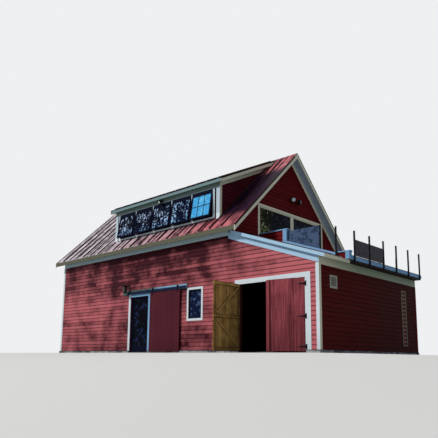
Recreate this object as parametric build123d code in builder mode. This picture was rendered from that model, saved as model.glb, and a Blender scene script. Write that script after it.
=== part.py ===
from build123d import *
from math import cos, radians, sin, tan
import os

os.makedirs("parts", exist_ok=True)

# Sizes are in millimetres. The origin is the middle of the footprint at ground level, with +X
# along the front wall to the lean-to end and +Y to the back. Distances named left or start are
# measured from the left front corner of the walls, and those named from_gable from the wall
# between the barn and its lean-to.

# Overall
main_length = 11650
lean_to_width = 3590
depth = 7300
wall = 150
board = 25

# Foundation and floors
foundation_height = 120
foundation_proud = 40
floor_thickness = 60
loft_floor_top = 3300
loft_floor_thickness = 220

# Main roof
roof_pitch = 44.1
eave_height = 4575
eave_overhang = 350
rake_overhang = 350
roof_thickness = 140
fascia_height = 170
frieze_drop = 255
frieze_height = 230
rake_frieze_height = 210
barge_height = 220
ridge_cap_leg = 170
ridge_cap_thickness = 12
edge_thickness = 3
edge_width = 90
edge_turn = 60

# Entry doorway
entry_left = 5650
entry_width = 1210
entry_height = 2420
entry_trim_width = 130
entry_door_thickness = 45
entry_door_inset = 60
entry_door_gap = 8
entry_door_stile = 110
entry_door_bottom_rail = 260
entry_barrel_radius = 7.7
entry_barrel_height = 100
entry_hinge_heights = (330, 1250, 2170)
entry_plate_width = 30
entry_plate_thickness = 3

# Sliding door and its track
slider_left = 7060
slider_width = 1830
slider_top = 2500
slider_bottom = 80
slider_thickness = 45
slider_standoff = 60
track_left = 5110
track_bottom = 2540
track_height = 180
track_board_thickness = 50
rail_height = 95
rail_thickness = 20
rail_bottom = 2545
rail_standoff = 28
rail_left = 5440
rail_posts = 7
rail_block = 40
wheel_radius = 35
wheel_thickness = 20
wheel_clearance = 0.4
hanger_width = 60
hanger_thickness = 6
hanger_drop = 100
hanger_inset = 150

# Double barn door
barn_opening_from_gable = 290
barn_opening_width = 2790
barn_opening_height = 2440
leaf_bottom = 75
leaf_gap = 10
leaf_thickness = 30
ledge_thickness = 25
ledge_width = 130
left_leaf_angle = 88
right_leaf_angle = 9
hinge_standoff = 12
batten_width = 110
batten_thickness = 45
barn_trim_width = 210
barn_header_height = 165
strap_length = 260
strap_width = 60
strap_tip = 15
strap_thickness = 6
knuckle_radius = 11
pin_radius = 6
pin_clearance = 0.4
strap_heights = (215, 1180, 2230)
arm_radius = 9
arm_thickness = 10
arm_gap = 1
pintle_plate_width = 50
pintle_plate_height = 170
pintle_thickness = 5

# Front window
window_left = 9318
window_width = 704
window_bottom = 1333
window_height = 1119
window_trim_width = 88
sash_width = 45
sash_thickness = 40
glass_thickness = 8

# Dormer
dormer_width = 6720
dormer_gable_margin = 1000
dormer_set_back = 290
dormer_pitch = 25.9
dormer_eave_overhang = 190
dormer_side_overhang = 250
dormer_roof_thickness = 120
dormer_wall = 120
dormer_fascia_height = 150
dormer_verge_height = 190
dormer_casing = 100
dormer_mullion_depth = 90
dormer_stile = 75
dormer_top_rail = 170
dormer_sill = 75
dormer_cheek_frieze = 350
dormer_band_left_margin = 330
dormer_band_right_margin = 350
dormer_band_rise = 715
dormer_band_height = 1140
dormer_windows = 5
dormer_mullion = 65
dormer_corner_board = 160
open_sash_angle = 9

# Glazed opening in the lean-to end gable
glazing_start = 1490
glazing_end = 1420
glazing_clearance = 355
glazing_mullion = 200
glazing_trim = 100

# Lean-to roof strip
lean_to_slope = 0.347
lean_to_top = 4450
lean_to_side_overhang = 300
lean_to_front_overhang = 125
lean_to_roof_thickness = 120
lean_to_strip_depth = 1450
lean_to_rake_height = 120
lean_to_frieze_height = 220
lean_to_frieze_lap = 250
lean_to_rake_lap = 90
side_fascia_bottom = 2810

# Deck on the lean-to
deck_wall = 120
deck_overhang = 300
deck_step_from_gable = 1310
deck_cap_rise = 150
deck_kerb_rise = 140
cap_thickness = 40
cap_proud = 30
cap_end = 60
deck_band_bottom = 3140
deck_band_height = 130
curb_height = 140
deck_corner_board = 150
panel_end_from_gable = 2700
panel_drop = 100
panel_thickness = 10
post_size = 50
post_top = 4150
post_bottom = 3060
post_start = 1750
post_end = 200
post_count = 6
front_post_from_gable = 3390
front_post_drop = 280
side_panel_bottom = 3290
side_panel_top = 3850

# Vent and slatted strip on the lean-to side
vent_start = 625
vent_width = 450
vent_bottom = 2105
vent_height = 430
vent_frame = 40
vent_slats = 6
vent_slat_thickness = 12
vent_slat_gap = 4
strip_start = 5930
strip_width = 420
strip_bottom = 350
strip_height = 2190
strip_rail = 45
strip_rungs = 15

corner_board = 100

# Lamps
lantern_left = 5400
lantern_width = 180
lantern_top = 2900
lantern_height = 300
lantern_plate_height = 160
lantern_reach = 235
lamp_plate = 20
lamp_base = 110
lamp_arm = 90
lamp_spread = 200
lamp_turn = 35
lamp_head = 170
gable_lamp_head = 230
lamp_length = 110
gable_lamp_y = 150
gable_lamp_rise = 1875
dormer_lamp_inset = 3340
dormer_lamp_rise = 1955

# Places along the front, from the wall between the barn and its lean-to
length = main_length + lean_to_width
barn_opening_left = main_length + barn_opening_from_gable
lean_to_frieze_left = main_length - lean_to_frieze_lap
lean_to_rake_left = main_length - lean_to_rake_lap
deck_step_left = main_length + deck_step_from_gable
panel_right = main_length + panel_end_from_gable
front_post_left = main_length + front_post_from_gable
dormer_left = main_length - dormer_gable_margin - dormer_width
dormer_band_left = dormer_left + dormer_band_left_margin
dormer_band_width = dormer_width - dormer_band_left_margin - dormer_band_right_margin
dormer_lamp_left = dormer_left + dormer_lamp_inset

# Heights that go with the eave
frieze_bottom = eave_height - frieze_drop
dormer_band_bottom = eave_height + dormer_band_rise
gable_lamp_z = eave_height + gable_lamp_rise
dormer_lamp_z = eave_height + dormer_lamp_rise

# Places worked out from the sizes
left = -length / 2
right = length / 2
front = -depth / 2
back = depth / 2
gable_x = left + main_length
slope = tan(radians(roof_pitch))
dormer_slope = tan(radians(dormer_pitch))
ridge_height = eave_height + (depth / 2 + eave_overhang) * slope
roof_drop = roof_thickness / cos(radians(roof_pitch))
dormer_drop = dormer_roof_thickness / cos(radians(dormer_pitch))
rake_left = left - rake_overhang
rake_right = gable_x + rake_overhang
dormer_front = front + dormer_set_back
dormer_x = left + dormer_left
dormer_end = dormer_x + dormer_width
dormer_eave = dormer_front - dormer_eave_overhang
eave_front = front - eave_overhang
deck_front = front + lean_to_strip_depth
deck_edge = right + deck_overhang
lean_to_eave = right + lean_to_side_overhang
front_face = Plane.XZ.offset(-front)
glazing_width = depth - glazing_start - glazing_end
deck_cap_height = lean_to_top + deck_cap_rise
deck_kerb_height = loft_floor_top + deck_kerb_rise
panel_top = deck_cap_height - panel_drop
front_post_top = deck_cap_height - front_post_drop
post_spacing = (depth - post_start - post_end) / (post_count - 1)
track_length = window_left - window_trim_width - track_left


def roof_z(y):
    """Top face of the main roof at a distance y from the ridge line."""
    return ridge_height - abs(y) * slope


def dormer_z(y):
    """Top face of the dormer roof."""
    return ridge_height - abs(y) * dormer_slope


def lean_to_z(x):
    """Top face of the lean-to roof."""
    return lean_to_top - (x - gable_x) * lean_to_slope


side_wall_top = lean_to_z(right) - lean_to_roof_thickness
eave_wall_top = roof_z(front) - roof_drop

# Foundation: a stone ring, open under both doorways
with BuildPart() as foundation:
    with BuildSketch():
        Rectangle(length + 2 * foundation_proud, depth + 2 * foundation_proud)
        Rectangle(length - 2 * wall, depth - 2 * wall, mode=Mode.SUBTRACT)
        for start, width in ((entry_left, entry_width), (barn_opening_left, barn_opening_width)):
            with Locations((left + start + width / 2, front)):
                Rectangle(width, 3 * wall, mode=Mode.SUBTRACT)
    extrude(amount=foundation_height)
foundation.part.label = "foundation"
export_step(foundation.part, "parts/foundation.step")

# Ground floor, with a sill that fills each doorway
with BuildPart() as ground_floor:
    with BuildSketch():
        Rectangle(length - 2 * wall, depth - 2 * wall)
        for start, width in ((entry_left, entry_width), (barn_opening_left, barn_opening_width)):
            with Locations((left + start + width / 2, front + wall / 2)):
                Rectangle(width, wall)
    extrude(amount=floor_thickness)
ground_floor.part.label = "ground_floor"
export_step(ground_floor.part, "parts/ground_floor.step")

with BuildPart() as loft_floor:
    with BuildSketch(Plane.XY.offset(loft_floor_top)):
        with Locations(((left + gable_x) / 2, 0)):
            Rectangle(main_length - 2 * wall, depth - 2 * wall)
    extrude(amount=-loft_floor_thickness)
loft_floor.part.label = "loft_floor"
export_step(loft_floor.part, "parts/loft_floor.step")


def eave_wall_section():
    """Draws the section of a wall that carries the main roof, with its top cut to the rafters."""
    Polyline(
        (front, foundation_height),
        (front + wall, foundation_height),
        (front + wall, eave_wall_top + wall * slope),
        (front, eave_wall_top),
        close=True,
    )


# Front wall, split beside and over both doorways
with BuildPart() as front_wall_left:
    with BuildSketch(Plane.YZ.offset(left)):
        with BuildLine():
            eave_wall_section()
        make_face()
    extrude(amount=entry_left)
front_wall_left.part.label = "front_wall_left"
export_step(front_wall_left.part, "parts/front_wall_left.step")

with BuildPart() as front_wall_entry_head:
    with BuildSketch(Plane.YZ.offset(left + entry_left)):
        with BuildLine():
            Polyline(
                (front, entry_height),
                (front + wall, entry_height),
                (front + wall, eave_wall_top + wall * slope),
                (front, eave_wall_top),
                close=True,
            )
        make_face()
    extrude(amount=entry_width)
front_wall_entry_head.part.label = "front_wall_entry_head"
export_step(front_wall_entry_head.part, "parts/front_wall_entry_head.step")

entry_right = left + entry_left + entry_width
with BuildPart() as front_wall_middle:
    with BuildSketch(Plane.YZ.offset(entry_right)):
        with BuildLine():
            eave_wall_section()
        make_face()
    extrude(amount=gable_x - entry_right)
    with BuildSketch(front_face):
        with Locations((left + window_left + window_width / 2, window_bottom + window_height / 2)):
            Rectangle(window_width, window_height)
    extrude(amount=-wall, mode=Mode.SUBTRACT)
front_wall_middle.part.label = "front_wall_middle"
export_step(front_wall_middle.part, "parts/front_wall_middle.step")

barn_left = left + barn_opening_left
barn_right = barn_left + barn_opening_width
with BuildPart() as lean_to_front_post:
    with BuildSketch(front_face):
        with BuildLine():
            Polyline(
                (gable_x, foundation_height),
                (barn_left, foundation_height),
                (barn_left, lean_to_z(barn_left) - lean_to_roof_thickness),
                (gable_x, lean_to_z(gable_x) - lean_to_roof_thickness),
                close=True,
            )
        make_face()
    extrude(amount=-wall)
lean_to_front_post.part.label = "lean_to_front_post"
export_step(lean_to_front_post.part, "parts/lean_to_front_post.step")

with BuildPart() as barn_door_head:
    with BuildSketch(front_face):
        with BuildLine():
            Polyline(
                (barn_left, barn_opening_height),
                (barn_right, barn_opening_height),
                (barn_right, lean_to_z(barn_right) - lean_to_roof_thickness),
                (barn_left, lean_to_z(barn_left) - lean_to_roof_thickness),
                close=True,
            )
        make_face()
    extrude(amount=-wall)
barn_door_head.part.label = "barn_door_head"
export_step(barn_door_head.part, "parts/barn_door_head.step")

with BuildPart() as front_wall_right:
    with BuildSketch(front_face):
        with BuildLine():
            Polyline(
                (barn_right, foundation_height),
                (right, foundation_height),
                (right, side_wall_top),
                (barn_right, lean_to_z(barn_right) - lean_to_roof_thickness),
                close=True,
            )
        make_face()
    extrude(amount=-wall)
front_wall_right.part.label = "front_wall_right"
export_step(front_wall_right.part, "parts/front_wall_right.step")

with BuildPart() as back_wall:
    with BuildSketch(Plane.YZ.offset(left)):
        with BuildLine():
            Polyline(
                (back, foundation_height),
                (back - wall, foundation_height),
                (back - wall, eave_wall_top + wall * slope),
                (back, eave_wall_top),
                close=True,
            )
        make_face()
    extrude(amount=main_length)
back_wall.part.label = "back_wall"
export_step(back_wall.part, "parts/back_wall.step")

with BuildPart() as lean_to_back_wall:
    with BuildSketch(Plane.XY.offset(foundation_height)):
        with Locations(((gable_x + right) / 2, back - wall / 2)):
            Rectangle(right - gable_x, wall)
    extrude(amount=side_wall_top - foundation_height)
lean_to_back_wall.part.label = "lean_to_back_wall"
export_step(lean_to_back_wall.part, "parts/lean_to_back_wall.step")

vent_centre = (front + vent_start + vent_width / 2, vent_bottom + vent_height / 2)
with BuildPart() as lean_to_side_wall:
    with BuildSketch(Plane.YZ.offset(right - wall)):
        with Locations((0, (foundation_height + side_wall_top) / 2)):
            Rectangle(depth - 2 * wall, side_wall_top - foundation_height)
        with Locations(vent_centre):
            Rectangle(vent_width - 2 * vent_frame, vent_height - 2 * vent_frame, mode=Mode.SUBTRACT)
    extrude(amount=wall)
lean_to_side_wall.part.label = "lean_to_side_wall"
export_step(lean_to_side_wall.part, "parts/lean_to_side_wall.step")


def gable_outline(bottom):
    """Draws a gable wall between the eave walls, with its top cut to the rafters."""
    shoulder = roof_z(front + wall) - roof_drop
    Polyline(
        (front + wall, bottom),
        (back - wall, bottom),
        (back - wall, shoulder),
        (0, ridge_height - roof_drop),
        (front + wall, shoulder),
        close=True,
    )


with BuildPart() as left_gable_wall:
    with BuildSketch(Plane.YZ.offset(left)):
        with BuildLine():
            gable_outline(foundation_height)
        make_face()
    extrude(amount=wall)
left_gable_wall.part.label = "left_gable_wall"
export_step(left_gable_wall.part, "parts/left_gable_wall.step")

glazing_centre = front + glazing_start + glazing_width / 2
glazing_corner = depth / 2 - min(glazing_start, glazing_end)
glazing_height = roof_z(glazing_corner) - roof_drop - glazing_clearance - loft_floor_top
with BuildPart() as right_gable_wall:
    with BuildSketch(Plane.YZ.offset(gable_x - wall)):
        with BuildLine():
            gable_outline(loft_floor_top - loft_floor_thickness)
        make_face()
        with Locations((glazing_centre, loft_floor_top + glazing_height / 2)):
            Rectangle(glazing_width, glazing_height, mode=Mode.SUBTRACT)
    extrude(amount=wall)
right_gable_wall.part.label = "right_gable_wall"
export_step(right_gable_wall.part, "parts/right_gable_wall.step")


def roof_section(side):
    """Draws the section of one main roof slope; side is -1 for the front and 1 for the back."""
    eave = side * (depth / 2 + eave_overhang - board)
    Polyline(
        (0, ridge_height),
        (eave, roof_z(eave)),
        (eave, roof_z(eave) - roof_drop),
        (0, ridge_height - roof_drop),
        close=True,
    )


# Front slope: whole below the dormer and at its sides, open inside the dormer
with BuildPart() as main_roof_front:
    with BuildSketch(Plane.YZ.offset(rake_left + edge_thickness + board)):
        with BuildLine():
            roof_section(-1)
        make_face()
    extrude(amount=rake_right - rake_left - 2 * (board + edge_thickness))
    with BuildSketch(Plane.XY.offset(loft_floor_top)):
        cut_front = dormer_front + dormer_wall
        with Locations((dormer_x + dormer_width / 2, cut_front / 2)):
            Rectangle(dormer_width - 2 * dormer_wall, -cut_front)
    extrude(amount=ridge_height, mode=Mode.SUBTRACT)
main_roof_front.part.label = "main_roof_front"
export_step(main_roof_front.part, "parts/main_roof_front.step")

with BuildPart() as main_roof_back:
    with BuildSketch(Plane.YZ.offset(rake_left + edge_thickness + board)):
        with BuildLine():
            roof_section(1)
        make_face()
    extrude(amount=rake_right - rake_left - 2 * (board + edge_thickness))
main_roof_back.part.label = "main_roof_back"
export_step(main_roof_back.part, "parts/main_roof_back.step")


def cap_section(front_slope):
    """Draws the bent cap over the ridge, with its front leg laid to the given slope."""
    rise = ridge_cap_thickness / cos(radians(roof_pitch))
    Polyline(
        (0, ridge_height),
        (ridge_cap_leg, ridge_height - ridge_cap_leg * slope),
        (ridge_cap_leg, ridge_height - ridge_cap_leg * slope + rise),
        (0, ridge_height + rise),
        (-ridge_cap_leg, ridge_height - ridge_cap_leg * front_slope + rise),
        (-ridge_cap_leg, ridge_height - ridge_cap_leg * front_slope),
        close=True,
    )


dormer_roof_left = dormer_x - dormer_side_overhang
dormer_roof_right = dormer_end + dormer_side_overhang
with BuildPart() as ridge_cap:
    for start, end, front_slope in (
        (rake_left, dormer_roof_left, slope),
        (dormer_roof_left, dormer_roof_right, dormer_slope),
        (dormer_roof_right, rake_right, slope),
    ):
        with BuildSketch(Plane.YZ.offset(start)):
            with BuildLine():
                cap_section(front_slope)
            make_face()
        extrude(amount=end - start)
ridge_cap.part.label = "ridge_cap"
export_step(ridge_cap.part, "parts/ridge_cap.step")

# Dormer walls
band_left = left + dormer_band_left
band_centre_x = band_left + dormer_band_width / 2
band_centre_z = dormer_band_bottom + dormer_band_height / 2
band_top = dormer_band_bottom + dormer_band_height
dormer_face = Plane.XZ.offset(-dormer_front)
with BuildPart() as dormer_front_wall:
    with BuildSketch(Plane.YZ.offset(dormer_x)):
        with BuildLine():
            inner = dormer_front + dormer_wall
            Polyline(
                (dormer_front, roof_z(dormer_front)),
                (inner, roof_z(inner)),
                (inner, dormer_z(inner) - dormer_drop),
                (dormer_front, dormer_z(dormer_front) - dormer_drop),
                close=True,
            )
        make_face()
    extrude(amount=dormer_width)
    with BuildSketch(dormer_face):
        with Locations((band_centre_x, band_centre_z)):
            Rectangle(dormer_band_width, dormer_band_height)
    extrude(amount=-dormer_wall, mode=Mode.SUBTRACT)
dormer_front_wall.part.label = "dormer_front_wall"
export_step(dormer_front_wall.part, "parts/dormer_front_wall.step")

with BuildPart() as dormer_cheeks:
    for start in (dormer_x, dormer_end - dormer_wall):
        with BuildSketch(Plane.YZ.offset(start)):
            with BuildLine():
                inner = dormer_front + dormer_wall
                meeting = -dormer_drop / (slope - dormer_slope)
                Polyline(
                    (inner, roof_z(inner)),
                    (meeting, roof_z(meeting)),
                    (inner, dormer_z(inner) - dormer_drop),
                    close=True,
                )
            make_face()
        extrude(amount=dormer_wall)
dormer_cheeks.part.label = "dormer_cheeks"
export_step(dormer_cheeks.part, "parts/dormer_cheeks.step")

# Dormer roof, trimmed to lie on the main roof beside the ridge
with BuildPart() as dormer_roof:
    with BuildSketch(Plane.YZ.offset(dormer_roof_left + edge_thickness + board)):
        with BuildLine():
            eave = dormer_eave + board
            Polyline(
                (0, ridge_height),
                (eave, dormer_z(eave)),
                (eave, dormer_z(eave) - dormer_drop),
                (0, ridge_height - dormer_drop),
                close=True,
            )
        make_face()
    extrude(amount=dormer_roof_right - dormer_roof_left - 2 * (board + edge_thickness))
    for start, end in (
        (dormer_roof_left, dormer_x + dormer_wall),
        (dormer_end - dormer_wall, dormer_roof_right),
    ):
        with BuildSketch(Plane.YZ.offset(start)):
            with BuildLine():
                meeting = -dormer_drop / (slope - dormer_slope)
                Polyline(
                    (0, ridge_height),
                    (meeting, roof_z(meeting)),
                    (meeting, roof_z(meeting) - roof_drop),
                    (0, ridge_height - 2 * roof_drop),
                    close=True,
                )
            make_face()
        extrude(amount=end - start, mode=Mode.SUBTRACT)
dormer_roof.part.label = "dormer_roof"
export_step(dormer_roof.part, "parts/dormer_roof.step")

# Lean-to roof: a strip along the front, with the deck behind it
with BuildPart() as lean_to_roof:
    with BuildSketch(front_face):
        with BuildLine():
            edge = lean_to_eave - board
            Polyline(
                (gable_x, lean_to_z(gable_x)),
                (edge, lean_to_z(edge)),
                (edge, lean_to_z(edge) - lean_to_roof_thickness),
                (gable_x, lean_to_z(gable_x) - lean_to_roof_thickness),
                close=True,
            )
        make_face()
    extrude(amount=lean_to_front_overhang - board)
    extrude(to_extrude=faces().sort_by(Axis.Y)[-1], amount=lean_to_strip_depth)
lean_to_roof.part.label = "lean_to_roof"
export_step(lean_to_roof.part, "parts/lean_to_roof.step")

with BuildPart() as deck_floor:
    with BuildSketch(Plane.XY.offset(side_wall_top)):
        floor_front = deck_front + deck_wall
        with Locations(((gable_x + deck_edge - board) / 2, (floor_front + back) / 2)):
            Rectangle(deck_edge - board - gable_x, back - floor_front)
    extrude(amount=loft_floor_top - side_wall_top)
deck_floor.part.label = "deck_floor"
export_step(deck_floor.part, "parts/deck_floor.step")

# Front wall of the deck: high at the gable, then down the roof slope to a low kerb
step_x = left + deck_step_left
wall_cap = deck_cap_height - cap_thickness
kerb_cap = deck_kerb_height - cap_thickness
kerb_x = gable_x + (lean_to_top + curb_height - kerb_cap) / lean_to_slope
deck_face = Plane.XZ.offset(-deck_front)
with BuildPart() as deck_front_wall:
    with BuildSketch(deck_face):
        with BuildLine():
            Polyline(
                (gable_x, side_wall_top),
                (deck_edge - board, side_wall_top),
                (deck_edge - board, kerb_cap),
                (kerb_x, kerb_cap),
                (step_x, lean_to_z(step_x) + curb_height),
                (step_x, wall_cap),
                (gable_x + board, wall_cap),
                (gable_x + board, loft_floor_top),
                (gable_x, loft_floor_top),
                close=True,
            )
        make_face()
    extrude(amount=-deck_wall)
deck_front_wall.part.label = "deck_front_wall"
export_step(deck_front_wall.part, "parts/deck_front_wall.step")

# Boards at the eaves: a fascia on the rafter ends and a frieze on the wall below
with BuildPart() as eave_trim:
    for side, frieze_length in ((-1, lean_to_frieze_left), (1, main_length)):
        fascia_y = side * (depth / 2 + eave_overhang - board / 2)
        frieze_y = side * (depth / 2 + board / 2)
        with Locations(((rake_left + rake_right) / 2, fascia_y, eave_height - fascia_height / 2)):
            Box(rake_right - rake_left - 2 * (board + edge_thickness), board, fascia_height)
        with Locations((left + frieze_length / 2, frieze_y, frieze_bottom + frieze_height / 2)):
            Box(frieze_length, board, frieze_height)
eave_trim.part.label = "eave_trim"
export_step(eave_trim.part, "parts/eave_trim.step")


def chevron(start, end, drop, height):
    """Draws a board that follows both roof slopes, a drop below the roof's top face."""
    Polyline(
        (start, roof_z(start) - drop),
        (0, ridge_height - drop),
        (end, roof_z(end) - drop),
        (end, roof_z(end) - drop - height),
        (0, ridge_height - drop - height),
        (start, roof_z(start) - drop - height),
        close=True,
    )


# Rake boards: a barge board at each roof edge and a frieze on each gable wall
frieze_start = front + max(0, lean_to_top - (eave_wall_top - rake_frieze_height))
with BuildPart() as rake_boards:
    for x in (rake_left + edge_thickness, rake_right - edge_thickness - board):
        with BuildSketch(Plane.YZ.offset(x)):
            with BuildLine():
                chevron(eave_front, -eave_front, 0, barge_height)
            make_face()
        extrude(amount=board)
    for x, start in ((left - board, front), (gable_x, frieze_start)):
        with BuildSketch(Plane.YZ.offset(x)):
            with BuildLine():
                chevron(start, back, roof_drop, rake_frieze_height)
            make_face()
        extrude(amount=board)
rake_boards.part.label = "rake_boards"
export_step(rake_boards.part, "parts/rake_boards.step")

# Metal edging on the rakes of the main roof and the dormer: a strip on top, turned down outside
edges = []
for side in (-1, 1):
    for x, inward in ((rake_left, 1), (rake_right, -1)):
        edges.append((x, inward, side * ridge_cap_leg, -side * eave_front, slope))
for x, inward in ((dormer_roof_left, 1), (dormer_roof_right, -1)):
    edges.append((x, inward, -ridge_cap_leg, dormer_eave, dormer_slope))
with BuildPart() as roof_edging:
    for x, inward, upper, lower, fall in edges:
        rise = edge_thickness / cos(radians(roof_pitch))
        for width, drop in ((edge_thickness, edge_turn), (edge_width, 0)):
            with BuildSketch(Plane.YZ.offset(x)):
                with BuildLine():
                    Polyline(
                        (upper, ridge_height - abs(upper) * fall + rise),
                        (lower, ridge_height - abs(lower) * fall + rise),
                        (lower, ridge_height - abs(lower) * fall - drop),
                        (upper, ridge_height - abs(upper) * fall - drop),
                        close=True,
                    )
                make_face()
            extrude(amount=inward * width)
roof_edging.part.label = "roof_edging"
export_step(roof_edging.part, "parts/roof_edging.step")

# Corner boards wrap each outer corner
lean_to_corner_top = lean_to_z(right + board) - lean_to_rake_height - lean_to_frieze_height
front_corners = (
    (left, front, 1, 1, foundation_height, frieze_bottom, frieze_bottom),
    (right, front, -1, 1, foundation_height, lean_to_corner_top, side_fascia_bottom),
)
back_corners = (
    (left, back, 1, -1, foundation_height, frieze_bottom, frieze_bottom),
    (right, back, -1, -1, foundation_height, side_fascia_bottom, side_fascia_bottom),
    (gable_x, back, -1, -1, loft_floor_top, frieze_bottom, frieze_bottom),
)
for name, corners in (("front_corner_boards", front_corners), ("back_corner_boards", back_corners)):
    with BuildPart() as corner_boards:
        for x, y, to_x, to_y, bottom, face_top, side_top in corners:
            face_z = (bottom + face_top) / 2
            side_z = (bottom + side_top) / 2
            with Locations((x + to_x * (corner_board - board) / 2, y - to_y * board / 2, face_z)):
                Box(corner_board + board, board, face_top - bottom)
            with Locations((x - to_x * board / 2, y + to_y * corner_board / 2, side_z)):
                Box(board, corner_board, side_top - bottom)
    corner_boards.part.label = name
    export_step(corner_boards.part, f"parts/{name}.step")


def lean_to_band(start, end, top_drop, height):
    """Draws a board that follows the lean-to slope."""
    Polyline(
        (start, lean_to_z(start) - top_drop),
        (end, lean_to_z(end) - top_drop),
        (end, lean_to_z(end) - top_drop - height),
        (start, lean_to_z(start) - top_drop - height),
        close=True,
    )


# Lean-to boards: sloping rake and frieze on the front, level fascia and frieze on the side
lean_to_rake_face = Plane.XZ.offset(lean_to_front_overhang - board - front)
with BuildPart() as lean_to_trim:
    with BuildSketch(lean_to_rake_face):
        with BuildLine():
            lean_to_band(left + lean_to_rake_left, lean_to_eave, 0, lean_to_rake_height)
        make_face()
    extrude(amount=board)
    with BuildSketch(front_face):
        with BuildLine():
            frieze_left = left + lean_to_frieze_left
            lean_to_band(frieze_left, right + board, lean_to_rake_height, lean_to_frieze_height)
        make_face()
    extrude(amount=board)
    fascia_top = lean_to_z(lean_to_eave)
    fascia_start = front - lean_to_front_overhang + board
    fascia_y = (fascia_start + deck_front) / 2
    with Locations((lean_to_eave - board / 2, fascia_y, fascia_top - lean_to_rake_height / 2)):
        Box(board, deck_front - fascia_start, lean_to_rake_height)
    side_fascia_top = lean_to_z(right + board) - lean_to_roof_thickness
    with Locations((right + board / 2, 0, (side_fascia_bottom + side_fascia_top) / 2)):
        Box(board, depth, side_fascia_top - side_fascia_bottom)
lean_to_trim.part.label = "lean_to_trim"
export_step(lean_to_trim.part, "parts/lean_to_trim.step")

# Boards round the deck: caps, corner boards, the curb along the slope and the edge bands
cap_depth = deck_wall + 2 * cap_proud
corner_left = step_x - deck_corner_board
edge_corner_left = deck_edge - deck_corner_board
with BuildPart() as deck_trim:
    for start, end, bottom in (
        (gable_x + board, step_x + cap_end, wall_cap),
        (kerb_x, deck_edge + cap_proud, kerb_cap),
    ):
        with Locations(((start + end) / 2, deck_front + deck_wall / 2, bottom + cap_thickness / 2)):
            Box(end - start, cap_depth, cap_thickness)
    with BuildSketch(deck_face):
        with BuildLine():
            Polyline(
                (corner_left, lean_to_z(corner_left)),
                (step_x, lean_to_z(step_x)),
                (step_x, wall_cap),
                (corner_left, wall_cap),
                close=True,
            )
        make_face()
        with BuildLine():
            lean_to_band(step_x, kerb_x, -curb_height, curb_height)
        make_face()
        corner_foot = lean_to_z(edge_corner_left)
        with Locations(((edge_corner_left + deck_edge) / 2, (corner_foot + kerb_cap) / 2)):
            Rectangle(deck_corner_board, kerb_cap - corner_foot)
    extrude(amount=board)
    end_bottom = lean_to_z(step_x) + curb_height
    with Locations((step_x + board / 2, deck_front + (deck_wall - board) / 2, (end_bottom + wall_cap) / 2)):
        Box(board, deck_wall + board, wall_cap - end_bottom)
    band_z = deck_band_bottom + deck_band_height / 2
    with Locations((deck_edge - board / 2, (deck_front + back) / 2, band_z)):
        Box(board, back - deck_front, deck_band_height)
    corner_y = deck_front + deck_corner_board / 2
    with Locations((deck_edge - board / 2, corner_y, (deck_band_bottom + kerb_cap) / 2)):
        Box(board, deck_corner_board, kerb_cap - deck_band_bottom)
    with Locations(((gable_x + board + deck_edge) / 2, back + board / 2, band_z)):
        Box(deck_edge - gable_x - board, board, deck_band_height)
deck_trim.part.label = "deck_trim"
export_step(deck_trim.part, "parts/deck_trim.step")

# Deck posts, bolted to the outside of the bands, and the two that carry the front panel
side_posts = [front + post_start + n * post_spacing for n in range(post_count)]
back_posts = [deck_edge - (n + 1) * post_spacing for n in range(3)]
front_post_x = left + front_post_left
panel_end = left + panel_right
with BuildPart() as deck_posts:
    for y in side_posts:
        with Locations((deck_edge + post_size / 2, y, (post_bottom + post_top) / 2)):
            Box(post_size, post_size, post_top - post_bottom)
    for x in back_posts:
        with Locations((x, back + board + post_size / 2, (post_bottom + post_top) / 2)):
            Box(post_size, post_size, post_top - post_bottom)
    for start, y, rise, top in (
        (panel_end, deck_front + (deck_wall - post_size) / 2, curb_height, panel_top),
        (front_post_x, deck_front - cap_proud - post_size, 0, front_post_top),
    ):
        with BuildSketch(Plane.XZ.offset(-y)):
            with BuildLine():
                Polyline(
                    (start, lean_to_z(start) + rise),
                    (start + post_size, lean_to_z(start + post_size) + rise),
                    (start + post_size, top),
                    (start, top),
                    close=True,
                )
            make_face()
        extrude(amount=-post_size)
deck_posts.part.label = "deck_posts"
export_step(deck_posts.part, "parts/deck_posts.step")

with BuildPart() as deck_front_panel:
    with BuildSketch(Plane.XZ.offset(-(deck_front + (deck_wall - panel_thickness) / 2))):
        with BuildLine():
            Polyline(
                (step_x + board, lean_to_z(step_x + board) + curb_height),
                (panel_end, lean_to_z(panel_end) + curb_height),
                (panel_end, panel_top),
                (step_x + board, panel_top),
                close=True,
            )
        make_face()
    extrude(amount=-panel_thickness)
deck_front_panel.part.label = "deck_front_panel"
export_step(deck_front_panel.part, "parts/deck_front_panel.step")

side_panel_z = (side_panel_bottom + side_panel_top) / 2
with BuildPart() as deck_side_panels:
    for y in side_posts[:2]:
        with Locations((deck_edge + post_size / 2, y + post_spacing / 2, side_panel_z)):
            Box(panel_thickness, post_spacing - post_size, side_panel_top - side_panel_bottom)
deck_side_panels.part.label = "deck_side_panels"
export_step(deck_side_panels.part, "parts/deck_side_panels.step")

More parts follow.
